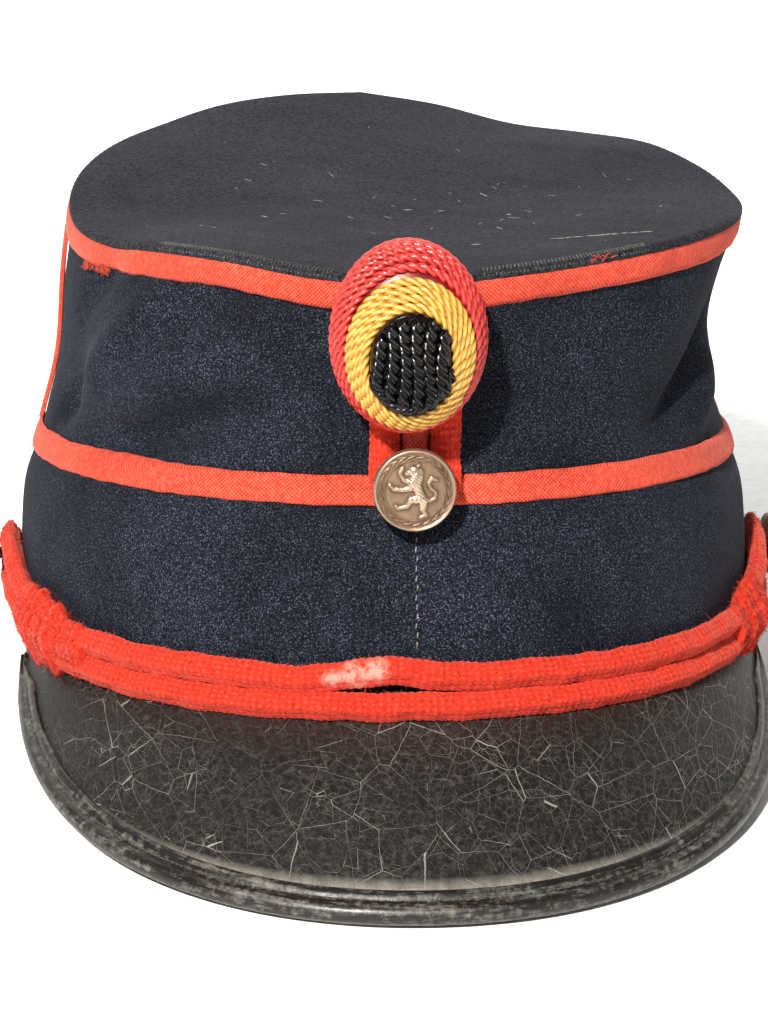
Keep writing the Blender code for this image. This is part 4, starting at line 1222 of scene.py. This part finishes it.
# The raised lion, walking upright and facing the wearer's right: strokes with a width at each end
LION = (
    # from across, from up, to across, to up, from width, to width
    (0.16, -0.20, 0.08, 0.02, 0.120, 0.105),
    (0.08, 0.02, -0.02, 0.18, 0.110, 0.160),
    (-0.02, 0.18, 0.04, 0.36, 0.165, 0.150),
    (0.04, 0.36, -0.02, 0.48, 0.145, 0.120),
    (0.08, 0.30, 0.12, 0.46, 0.110, 0.080),
    (-0.02, 0.46, -0.14, 0.44, 0.090, 0.060),
    (-0.14, 0.44, -0.20, 0.40, 0.055, 0.035),
    (0.06, 0.56, 0.10, 0.62, 0.035, 0.020),
    (-0.06, 0.20, -0.26, 0.26, 0.075, 0.055),
    (-0.26, 0.26, -0.36, 0.44, 0.055, 0.045),
    (-0.36, 0.44, -0.30, 0.54, 0.040, 0.045),
    (-0.04, 0.08, -0.28, 0.02, 0.075, 0.055),
    (-0.28, 0.02, -0.50, 0.04, 0.055, 0.045),
    (-0.50, 0.04, -0.60, 0.14, 0.040, 0.040),
    (0.12, -0.20, -0.10, -0.22, 0.125, 0.085),
    (-0.10, -0.22, -0.20, -0.38, 0.070, 0.050),
    (-0.20, -0.38, -0.40, -0.42, 0.045, 0.040),
    (-0.40, -0.42, -0.46, -0.36, 0.038, 0.032),
    (0.20, -0.24, 0.18, -0.44, 0.110, 0.065),
    (0.18, -0.44, 0.26, -0.58, 0.055, 0.045),
    (0.26, -0.58, 0.14, -0.64, 0.045, 0.040),
    (0.22, -0.16, 0.36, -0.24, 0.042, 0.036),
    (0.36, -0.24, 0.48, -0.18, 0.036, 0.034),
    (0.48, -0.18, 0.50, -0.04, 0.034, 0.034),
    (0.50, -0.04, 0.38, 0.06, 0.034, 0.034),
    (0.38, 0.06, 0.32, 0.18, 0.034, 0.034),
    (0.32, 0.18, 0.40, 0.30, 0.034, 0.040),
    (0.40, 0.30, 0.52, 0.26, 0.048, 0.030),
)


def button_height(x, y):
    """Height of the button's face, and how much each spot stands up, over the unit disc."""
    radius = np.hypot(x, y)
    dome = 0.66 + 0.24 * np.sqrt(np.clip(1 - (radius / 1.15) ** 2, 0, 1))
    rim = 0.10 * np.exp(-(((radius - 0.95) / 0.045) ** 2))
    line = 0.02 * np.exp(-(((radius - 0.73) / 0.02) ** 2))
    angle = np.arctan2(x, y)
    leaf = np.cos(angle * 22 + 9 * np.abs(radius - 0.83) / 0.1)
    beads = 0.05 * np.clip(leaf * 0.8 + 0.35, 0, 1) * np.exp(-(((radius - 0.83) / 0.06) ** 2))
    figure = np.zeros(radius.shape)
    beside = np.full(radius.shape, 9.0)
    for x0, y0, x1, y1, w0, w1 in LION:
        run, rise = x1 - x0, y1 - y0
        near = np.clip(((x - x0) * run + (y - y0) * rise) / (run * run + rise * rise), 0, 1)
        gap = np.hypot(x - x0 - near * run, y - y0 - near * rise)
        width = mix(w0, w1, near)
        figure = np.maximum(figure, np.sqrt(np.clip(1 - (gap / width) ** 2, 0, 1)) * width)
        beside = np.minimum(beside, gap - width)
    tufts = 0.012 * np.sin(x * 60 + 20 * y) * np.sin(y * 55) * (figure > 0.05)
    figure = (figure + tufts) * 1.1 * (radius < 0.80)
    dirt = 0.30 * np.exp(-((np.clip(beside, 0, 9) / 0.06) ** 2)) * (beside > 0)
    field = 0.34 * smooth_step(0.74, 0.66, radius)
    raised = field - dirt + rim * 6 + beads * 5 + line * 6 + np.clip(figure * 5, 0, 0.55)
    return dome + rim + line + beads + figure, np.clip(raised, 0, 1)


BUTTON_EDGE = ((1.0, 0.58), (1.005, 0.42), (0.98, 0.2), (0.86, 0.02), (0.5, 0.0))
SHANK_RADIUS = 1.4


def button_mesh(radius, thick, shank):
    """A button facing out along local Z: dome, rolled edge, back plate and shank."""
    rows = np.linspace(0.0, 0.97, 64)[1:]
    turns = np.linspace(0, math.tau, 144, endpoint=False)
    t, r = np.meshgrid(turns, rows, indexing="ij")
    x, y = r * np.sin(t), r * np.cos(t)
    height, raised = button_height(x, y)
    face = np.stack([x * radius, y * radius, shank + height * thick], -1)
    edge = [(radius * share, shank + thick * level) for share, level in BUTTON_EDGE]
    edge += [(SHANK_RADIUS, shank), (SHANK_RADIUS, 0.0)]
    edge = [
        np.stack([reach * np.sin(turns), reach * np.cos(turns), 0 * turns + level], -1)
        for reach, level in edge
    ]
    rings = np.concatenate([face, np.stack(edge, 1)], 1)
    faces = turned_faces(*rings.shape[:2], flip=True)
    extra = np.zeros((len(turns), len(edge)))
    extra[:, 0] = 0.9
    level = np.concatenate([raised, extra], 1)
    coords = np.stack([level, 0 * level, 0 * level], -1)
    return rings.reshape(-1, 3), faces, coords.reshape(-1, 3)


def seat_button(node, radius, thick, shank, seat, out):
    """A button cast whole, standing on its seat and facing out."""
    points, faces, coords = button_mesh(radius, thick, shank)
    out = unit(np.asarray(out, float))
    side = unit(np.cross((0, 0, 1), out))
    axes = np.stack([side, np.cross(out, side), out])
    spots = points @ axes + seat
    piece(node + "_cast", spots, faces, brass_material(), [node], sharp=50, coords=coords)


class KEPI_OT_loop(bpy.types.Operator):
    """The braid loop round the front button"""

    bl_idname = "kepi.loop"
    bl_label = "Braid loop"

    def execute(self, context):
        across = settings().tape_width / MM / 2 + LOOP_HALF + 0.2
        foot = BUTTON_HEIGHT + LOOP_RISE
        rise = np.linspace(19.0, 0, 40)
        sweep_angle = np.linspace(0, math.pi, 40)
        x = np.concatenate([-across + 0 * rise, -across * np.cos(sweep_angle[1:-1]), across + 0 * rise])
        z = np.concatenate([foot + rise, foot - LOOP_DEPTH * np.sin(sweep_angle[1:-1]), foot + rise[::-1]])
        angle = np.degrees(np.arcsin(x / SEAM_HALF[0]))
        on_tape = np.clip((BAND_HEIGHT + 6 - z) / LOOP_RISE, 0, 1)
        path, outs = cloth_wall(angle, z, 1.6 + 1.3 * on_tape)
        points, faces, coords = braid(path, outs, LOOP_HALF - 0.1, 1.0, seed=41)
        piece("loop_braid", points, faces, braid_material(), ["braid_loop"], coords=coords)
        spots, normals = scatter(points, faces, 1500, 43)
        normals[((spots - points.mean(0)) * normals).sum(1) < 0] *= -1
        fuzz("loop_fuzz", spots, normals, 0.55, 44)
        return {"FINISHED"}


class KEPI_OT_buttons(bpy.types.Operator):
    """The stamped buttons at the front and at both ends of the chin cord"""

    bl_idname = "kepi.buttons"
    bl_label = "Buttons"

    def execute(self, context):
        back = cloth_wall(0.0, BAND_HEIGHT - 1.4, BUTTON_OFFSET)[0][0, 1]
        seat = np.array([BUTTON_X, back, BUTTON_HEIGHT])
        loop_foot = BUTTON_HEIGHT + LOOP_RISE - LOOP_DEPTH - LOOP_HALF
        front = cloth_wall(0.0, loop_foot, BUTTON_OFFSET + LOOP_STAND)[0][0, 1]
        seat_button("front_button", BUTTON_RADIUS, BUTTON_THICK, back - front, seat, (0, -1, 0))
        for side, node in ((1, "left_button"), (-1, "right_button")):
            spot, out = cloth_wall(side * SIDE_ANGLE, SIDE_HEIGHT, 0.3)
            seat_button(node, *SIDE_BUTTON, spot[0], out[0])
        return {"FINISHED"}


# Chin cord

REST_HEIGHT = 3.6
SIDE_HEIGHT = 15.0
SIDE_ANGLE = 86.0
SLACK = 1.7
SLIDE_ANGLE = 64.0
LEFT_SLIDE = 17.0
RIGHT_SLIDE = 29.0


def cord_path(tall, thick):
    """The closed line of the chin cord: lower strand, right turn, upper strand, left turn."""
    arc = math.radians(1) * (BAND_HALF[0] + BAND_HALF[1]) / 2
    parallel, turn_half = tall / 2 + 0.12, tall / 2 + 1.7
    share = np.linspace(-1, 1, 161)
    angle = SIDE_ANGLE * np.sin(math.pi / 2 * share)
    height = REST_HEIGHT + (SIDE_HEIGHT - REST_HEIGHT) * table_value(CORD_LINE, np.abs(angle), 1)
    half = mix(parallel, turn_half, table_value(CORD_LINE, np.abs(angle), 2))
    run, rise = np.gradient(angle) * arc, np.gradient(height)
    length = np.hypot(run, rise)
    hump = SLACK * np.exp(-(((angle + 4) / 5.5) ** 2)) - 0.7 * np.exp(-(((angle + 16) / 7) ** 2))
    lower = np.stack([angle + half * rise / length / arc, height - half * run / length], -1)
    upper = np.stack([angle - half * rise / length / arc, height + half * run / length + hump], -1)
    turns = []
    for side in (1, -1):
        last = -1 if side > 0 else 0
        end, level, spread = angle[last], height[last], half[last]
        first = lower[-1] if side > 0 else upper[0]
        start = math.atan2(first[1] - level, (first[0] - end) * arc)
        turn = start + math.pi * np.arange(1, 18) / 18
        turns.append(np.stack([end + spread * np.cos(turn) / arc, level + spread * np.sin(turn)], -1))
    line = np.concatenate([lower, turns[0], upper[::-1], turns[1]])
    wobble = 0.15 * waves(line[:, 0] * 0.5, line[:, 1], 51)
    return cloth_wall(line[:, 0], line[:, 1] + wobble, 0.35 + thick / 2)


def fuzz(name, surface, normals, length, seed):
    """Short loose fibres that stand off a braid."""
    draw = np.random.default_rng(seed)
    count = len(surface)
    lean = draw.normal(0, 1.0, (count, 3))
    way = unit(normals + lean * 0.8)
    curl = draw.normal(0, 0.5, (count, 3))
    size = length * draw.uniform(0.4, 1.3, count)[:, None]
    middle = surface + way * size * 0.5
    tip = surface + (way + curl) * size * 0.9
    across = unit(np.cross(way, draw.normal(0, 1, (count, 3))))
    other = np.cross(way, across)
    rings = []
    root = surface - normals * 0.15
    for centre, radius in ((root, 0.055), (middle, 0.045)):
        for turn in (0, math.tau / 3, math.tau * 2 / 3):
            rings.append(centre + (across * math.cos(turn) + other * math.sin(turn)) * radius)
    rings.append(tip)
    points = np.stack(rings, 1).reshape(-1, 3)
    base = (np.arange(count) * 7)[:, None]
    quads = np.concatenate([base + q for q in ([0, 1, 4, 3], [1, 2, 5, 4], [2, 0, 3, 5])])
    tris = np.concatenate([base + q for q in ([3, 4, 6], [4, 5, 6], [5, 3, 6], [0, 2, 1])])
    faces = quads.tolist() + tris.tolist()
    piece(name, points, faces, braid_material(), coords=np.zeros((count * 7, 3)))


def scatter(points, faces, count, seed):
    """Random spots on a mesh of quads and their outward directions."""
    draw = np.random.default_rng(seed)
    quads = np.array([f for f in faces if len(f) == 4])
    corners = np.asarray(points)[quads]
    normal = np.cross(corners[:, 1] - corners[:, 0], corners[:, 3] - corners[:, 0])
    area = np.linalg.norm(normal, axis=1)
    pick = draw.choice(len(quads), count, p=area / area.sum())
    a, b = draw.uniform(0, 1, (2, count, 1))
    c = corners[pick]
    spots = (c[:, 0] * (1 - a) + c[:, 1] * a) * (1 - b) + (c[:, 3] * (1 - a) + c[:, 2] * a) * b
    return spots, normal[pick] / (area[pick, None] + 1e-9)


class KEPI_OT_chin_cord(bpy.types.Operator):
    """The woven chin cord, its two slides and their loose wool"""

    bl_idname = "kepi.chin_cord"
    bl_label = "Chin cord"

    def execute(self, context):
        tall, thick = settings().cord_tall / MM, settings().cord_thick / MM
        path, outs = cord_path(tall, thick)
        points, faces, coords = braid(path, outs, tall / 2 - 0.1, thick / 2 - 0.1, wrap=True, seed=52)
        piece("chin_cord_braid", points, faces, braid_material(), ["chin_cord"], coords=coords)
        centre = points.reshape(-1, BRAID_AROUND, 3).mean(1)
        spots, normals = scatter(points, faces, 7500, 53)
        normals = self.outwards(spots, normals, centre)
        fuzz("chin_cord_fuzz", spots, normals, 0.85, 54)
        for side, node in ((1, "left_slide"), (-1, "right_slide")):
            self.add_slide(side, node, tall, thick)
        return {"FINISHED"}

    def outwards(self, spots, normals, centre):
        """Normals turned away from the cord's middle line."""
        gap = ((spots[:, None] - centre[None, ::12]) ** 2).sum(-1)
        inside = centre[::12][gap.argmin(1)]
        flip = ((spots - inside) * normals).sum(1) < 0
        normals[flip] *= -1
        return normals

    def add_slide(self, side, node, tall, thick):
        """A lump of braid wrapped round both strands."""
        span = RIGHT_SLIDE if side < 0 else LEFT_SLIDE
        arc = math.radians(1) * (BAND_HALF[0] + BAND_HALF[1]) / 2
        angle = SLIDE_ANGLE - 0.30 * span / arc + np.linspace(-span, span, 60) / 2 / arc
        height = REST_HEIGHT + (SIDE_HEIGHT - REST_HEIGHT) * table_value(CORD_LINE, angle, 1)
        path, outs = cloth_wall(side * angle, height + 0.8, 3.2)
        if side < 0:
            path, outs = path[::-1], outs[::-1]

        def swell(spots):
            share = spots / spots[-1]
            toward = share if side > 0 else 1 - share
            lumps = 0.10 * np.sin(share * 23) + 0.06 * np.sin(share * 41 + 1)
            return 0.70 + 0.46 * smooth_step(0.0, 0.6, toward) - 0.25 * smooth_step(0.85, 1, toward) + lumps

        half, deep = tall + 0.7, thick / 2 + 0.9
        points, faces, coords = braid(path, outs, half, deep, 0.3, pitch=2.2, seed=55, swell=swell)
        piece(node + "_braid", points, faces, braid_material(), [node], coords=coords)
        centre = points.reshape(-1, BRAID_AROUND, 3).mean(1)
        spots, normals = scatter(points, faces, 3000, 56)
        fuzz(node + "_fuzz", spots, self.outwards(spots, normals, centre), 1.0, 57)


# Peak


class KEPI_OT_peak(bpy.types.Operator):
    """The crazed leather peak"""

    bl_idname = "kepi.peak"
    bl_label = "Peak"

    def execute(self, context):
        share = np.linspace(-1, 1, 261)
        angle = (PEAK_END_ANGLE * np.sin(math.pi / 2 * share))[:, None]
        way = np.linspace(0.0, 1.0, 64)[None]
        middle = peak_sheet(angle, way)
        middle[..., 2] += 0.20 * waves(middle[..., 0] * 0.09, middle[..., 1] * 0.09, 61, 9) * way
        normal = sheet_normals(angle, np.gradient(middle, axis=1))
        skin = 0.05 * waves(middle[..., 0] * 0.9, middle[..., 1] * 0.9, 62, 12)
        upper = middle + normal * (PEAK_THICK / 2 + skin)[..., None]
        lower = middle - normal * PEAK_THICK / 2
        tuck = band_wall(angle, 0.0, -CLOTH)[0] - (0, 0, PEAK_SEAT)
        rings = np.concatenate([tuck, upper, lower[:, ::-1], tuck - (0, 0, PEAK_THICK)], 1)
        points, faces = shell(rings, False)
        along = np.broadcast_to(way, angle.shape[:1] + way.shape[1:])
        level = np.concatenate([0 * angle, along, along[:, ::-1], 0 * angle], 1)
        reach = peak_reach(angle) + 0 * level
        around = np.radians(angle) * 90 + 0 * level
        coords = np.stack([around, 1 - (1 - level) * reach / PEAK_LENGTH, level], -1)
        leather = crazed_leather("crazed_leather", settings().hard, 0.85)
        piece("peak_leather", points, faces, leather, ["peak"], sharp=60, coords=coords)
        return {"FINISHED"}


class KEPI_OT_binding(bpy.types.Operator):
    """The rolled binding round the peak's edge, with its groove and stitches"""

    bl_idname = "kepi.binding"
    bl_label = "Peak binding"

    def execute(self, context):
        share = np.linspace(-1, 1, 700)
        angle = PEAK_END_ANGLE * 0.995 * np.sin(math.pi / 2 * share)
        edge = peak_sheet(angle, 1.0)
        reach = edge - peak_sheet(angle, 0.0)
        edge, normal, _ = resample(edge, sheet_normals(angle, reach), 0.36)
        edge = self.rounded(self.rounded(edge, 15), 9)
        normal = unit(self.rounded(normal, 25))
        along = unit(np.gradient(edge, axis=0))
        outward = unit(np.cross(along, normal))
        outward *= -np.sign(outward[len(edge) // 2, 1])
        profile = self.profile()
        length = run_length(edge)
        rough = 0.05 * waves(length[:, None] * 0.8, np.arange(len(profile))[None] * 0.7, 71, 10)
        narrow = np.clip(np.minimum(length, length[-1] - length) / 16.0, 0.25, 1)[:, None]
        side = profile[None, :, 0] * narrow
        up = profile[None, :, 1] + rough * np.sign(profile[None, :, 1])
        rings = edge[:, None] + outward[:, None] * side[..., None] + normal[:, None] * up[..., None]
        points, faces = shell(rings, False)
        coords = np.stack([length[:, None] + 0 * up, side, up], -1)
        binding = rubbed_binding("glazed_binding", settings().hard)
        piece("binding_leather", points, faces, binding, ["peak_binding"], coords=coords)
        self.add_stitches(edge, outward, normal, length)
        return {"FINISHED"}

    def rounded(self, line, count):
        """A line with its sharp turns eased over a count of points."""
        padded = np.pad(line, ((count // 2, count // 2), (0, 0)), "edge")
        share = np.ones(count) / count
        return np.stack([np.convolve(padded[:, i], share, "valid") for i in range(3)], -1)

    def profile(self):
        """Section of the binding: side is out from the sheet's edge, up is square to the sheet."""
        half = PEAK_THICK / 2
        rows = (
            (-4.7, half - 0.05),
            (-4.75, half + 0.35),
            (-4.45, half + 0.68),
            (-3.8, half + 0.80),
            (-3.2, half + 0.74),
            (-2.6, half + 0.52),
            (-2.25, half + 0.38),
            (-1.9, half + 0.40),
            (-1.5, half + 0.66),
            (-0.8, half + 0.98),
            (0.0, half + 1.02),
            (0.8, half + 0.72),
            (1.45, half + 0.10),
            (1.8, half - 0.8),
            (1.8, -half + 0.8),
            (1.4, -half - 0.2),
            (0.6, -half - 0.75),
            (-0.6, -half - 0.85),
            (-2.4, -half - 0.7),
            (-4.4, -half - 0.7),
            (-4.7, -half - 0.3),
            (-4.6, 0.0),
        )
        closed = np.array(rows + rows[:1])
        corners = np.arange(len(closed))
        fine = np.linspace(0, len(rows), len(rows) * 2, endpoint=False)
        return np.stack([np.interp(fine, corners, closed[:, i]) for i in range(2)], -1)

    def add_stitches(self, edge, outward, normal, length):
        """Stitches in the groove."""
        parts = []
        for start in np.arange(10.0, length[-1] - 10.0, 2.3):
            spots = start + np.linspace(0, 1.65, 5)
            lift = PEAK_THICK / 2 + 0.35 + 0.22 * np.sin(np.linspace(0, math.pi, 5))
            base, out, up = [
                np.stack([np.interp(spots, length, line[:, i]) for i in range(3)], -1)
                for line in (edge, outward, normal)
            ]
            parts.append(rope(base - out * 2.2 + up * lift[:, None], up, 0.2, 2, 1.4, 6, 0.4))
        points, faces, coords = joined(parts)
        black = linen_thread("black_thread", settings().threads.binding)
        piece("binding_stitches", points, faces, black, coords=coords)


class KEPI_OT_seam_stitches(bpy.types.Operator):
    """The stitches that show in the seam down the band's front"""

    bl_idname = "kepi.seam_stitches"
    bl_label = "Front seam stitches"

    def execute(self, context):
        parts = []
        for i, height in enumerate(np.arange(12.0, 35.0, 1.9)):
            heights = height + np.linspace(0, 1.1, 4)
            spots = 0.10 * np.sin(i * 2.3) + np.linspace(0, 0.1, 4)
            path, outs = cloth_wall(spots, heights, -0.32)
            parts.append(rope(path, outs, 0.15, 2, 1.2, 6, 0.3))
        points, faces, coords = joined(parts)
        grey = linen_thread("grey_thread", settings().threads.seam)
        piece("seam_stitches", points, faces, grey, coords=coords)
        return {"FINISHED"}


# Stage


LIGHTS = (
    # name, place, size, power, colour, aim
    ("key_light", (-0.44, -1.12, 0.98), 0.08, 46.0, "#FFF8F0", (0, 0, 0.05)),
    ("fill_light", (1.3, -1.4, 0.9), 1.6, 3.0, "#F2F6FF", (0, 0, 0.05)),
    ("wall_light", (0.0, 0.5, 1.5), 1.8, 42.0, "#FFFFFF", (0, 2.2, 0.9)),
)
WORLD_STRENGTH = 0.20
# The camera as fitted to the photograph, in the cap's own frame. The focal length is in pixels of the frame
CAMERA_DISTANCE = 0.597
CAMERA_RISE = math.radians(9.8)
CAMERA_SWING = math.radians(-3.95)
CAMERA_TARGET = (0.0003, 0, 0.0224)
FOCAL_PIXELS = 2500
FRAME_HEIGHT = 1024


class KEPI_OT_stage(bpy.types.Operator):
    """A pale paper sweep, soft studio light and the camera"""

    bl_idname = "kepi.stage"
    bl_label = "Stage"

    def execute(self, context):
        self.add_sweep()
        self.add_camera()
        for light in LIGHTS:
            self.add_light(*light)
        world = bpy.data.worlds.new("studio")
        world.use_nodes = True
        sky = world.node_tree.nodes["Background"].inputs
        sky["Color"].default_value = linear("#FFFFFF")
        sky["Strength"].default_value = WORLD_STRENGTH
        context.scene.world = world
        context.scene.view_settings.view_transform = "Standard"
        return {"FINISHED"}

    def add_sweep(self):
        """Floor that curves up into a wall behind the cap."""
        rows = [(-2.5, 0.0), (0.9, 0.0)]
        turns = np.linspace(0.1, math.pi / 2, 16)
        rows += [(0.9 + 0.9 * math.sin(turn), 0.9 - 0.9 * math.cos(turn)) for turn in turns]
        rows += [(1.8, 3.0)]
        points = [(x, y, z) for y, z in rows for x in (-3.5, 3.5)]
        faces = [(2 * i, 2 * i + 1, 2 * i + 3, 2 * i + 2) for i in range(len(rows) - 1)]
        mesh = bpy.data.meshes.new("paper_sweep")
        mesh.from_pydata(points, [], faces)
        mesh.shade_smooth()
        mesh.materials.append(pale_paper("white_paper", "#FDFDFC"))
        made = bpy.data.objects.new("paper_sweep", mesh)
        bpy.context.scene.collection.objects.link(made)

    def add_camera(self):
        """The camera, tipped with the cap, so that it sees the cap at the photographed angle."""
        rise, swing = CAMERA_RISE, CAMERA_SWING
        back = Vector((math.sin(swing) * math.cos(rise), -math.cos(swing) * math.cos(rise), math.sin(rise)))
        right = Vector((math.cos(swing), math.sin(swing), 0))
        up = back.cross(right)
        turned = Matrix((right, up, back)).transposed().to_4x4()
        data = bpy.data.cameras.new("camera")
        data.sensor_width = 36.0
        data.lens = FOCAL_PIXELS * data.sensor_width / FRAME_HEIGHT
        made = bpy.data.objects.new("camera", data)
        spot = Vector(CAMERA_TARGET) + back * CAMERA_DISTANCE
        made.matrix_world = CAP @ Matrix.Translation(spot) @ turned
        bpy.context.scene.collection.objects.link(made)
        bpy.context.scene.camera = made

    def add_light(self, name, spot, size, power, colour, aim):
        """A square light aimed at a spot."""
        data = bpy.data.lights.new(name, "AREA")
        data.size = size
        data.energy = power
        data.color = linear(colour)[:3]
        made = bpy.data.objects.new(name, data)
        made.location = spot
        made.rotation_euler = (Vector(aim) - Vector(spot)).to_track_quat("-Z", "Y").to_euler()
        bpy.context.scene.collection.objects.link(made)


class KEPI_PT_panel(bpy.types.Panel):
    """Lists the cap's pieces"""

    bl_idname = "KEPI_PT_panel"
    bl_label = "Kepi cap"
    bl_space_type = "VIEW_3D"
    bl_region_type = "UI"
    bl_category = "Kepi"

    def draw(self, context):
        kepi = context.scene.kepi_cap
        for key in ("tape_width", "tape_thick", "cord_tall", "cord_thick", "silk"):
            self.layout.prop(kepi, key)
        for group in (kepi.wool, kepi.reds, kepi.silks, kepi.hard, kepi.brass, kepi.threads):
            for key in group.__annotations__:
                self.layout.prop(group, key)
        for made in OPERATORS:
            self.layout.operator(made.bl_idname)


OPERATORS = (
    KEPI_OT_stage,
    KEPI_OT_band,
    KEPI_OT_crown,
    KEPI_OT_top,
    KEPI_OT_tapes,
    KEPI_OT_cockade,
    KEPI_OT_loop,
    KEPI_OT_buttons,
    KEPI_OT_chin_cord,
    KEPI_OT_peak,
    KEPI_OT_binding,
    KEPI_OT_seam_stitches,
)
GROUPS = (KepiWool, KepiReds, KepiSilk, KepiHard, KepiBrass, KepiThreads, KepiCap)
CLASSES = (*GROUPS, *OPERATORS, KEPI_PT_panel)


def register():
    for made in CLASSES:
        bpy.utils.register_class(made)
    bpy.types.Scene.kepi_cap = bpy.props.PointerProperty(type=KepiCap)


def unregister():
    del bpy.types.Scene.kepi_cap
    for made in reversed(CLASSES):
        bpy.utils.unregister_class(made)


def main():
    register()
    for made in OPERATORS:
        group, action = made.bl_idname.split(".")
        getattr(getattr(bpy.ops, group), action)()


if __name__ == "__main__":
    main()
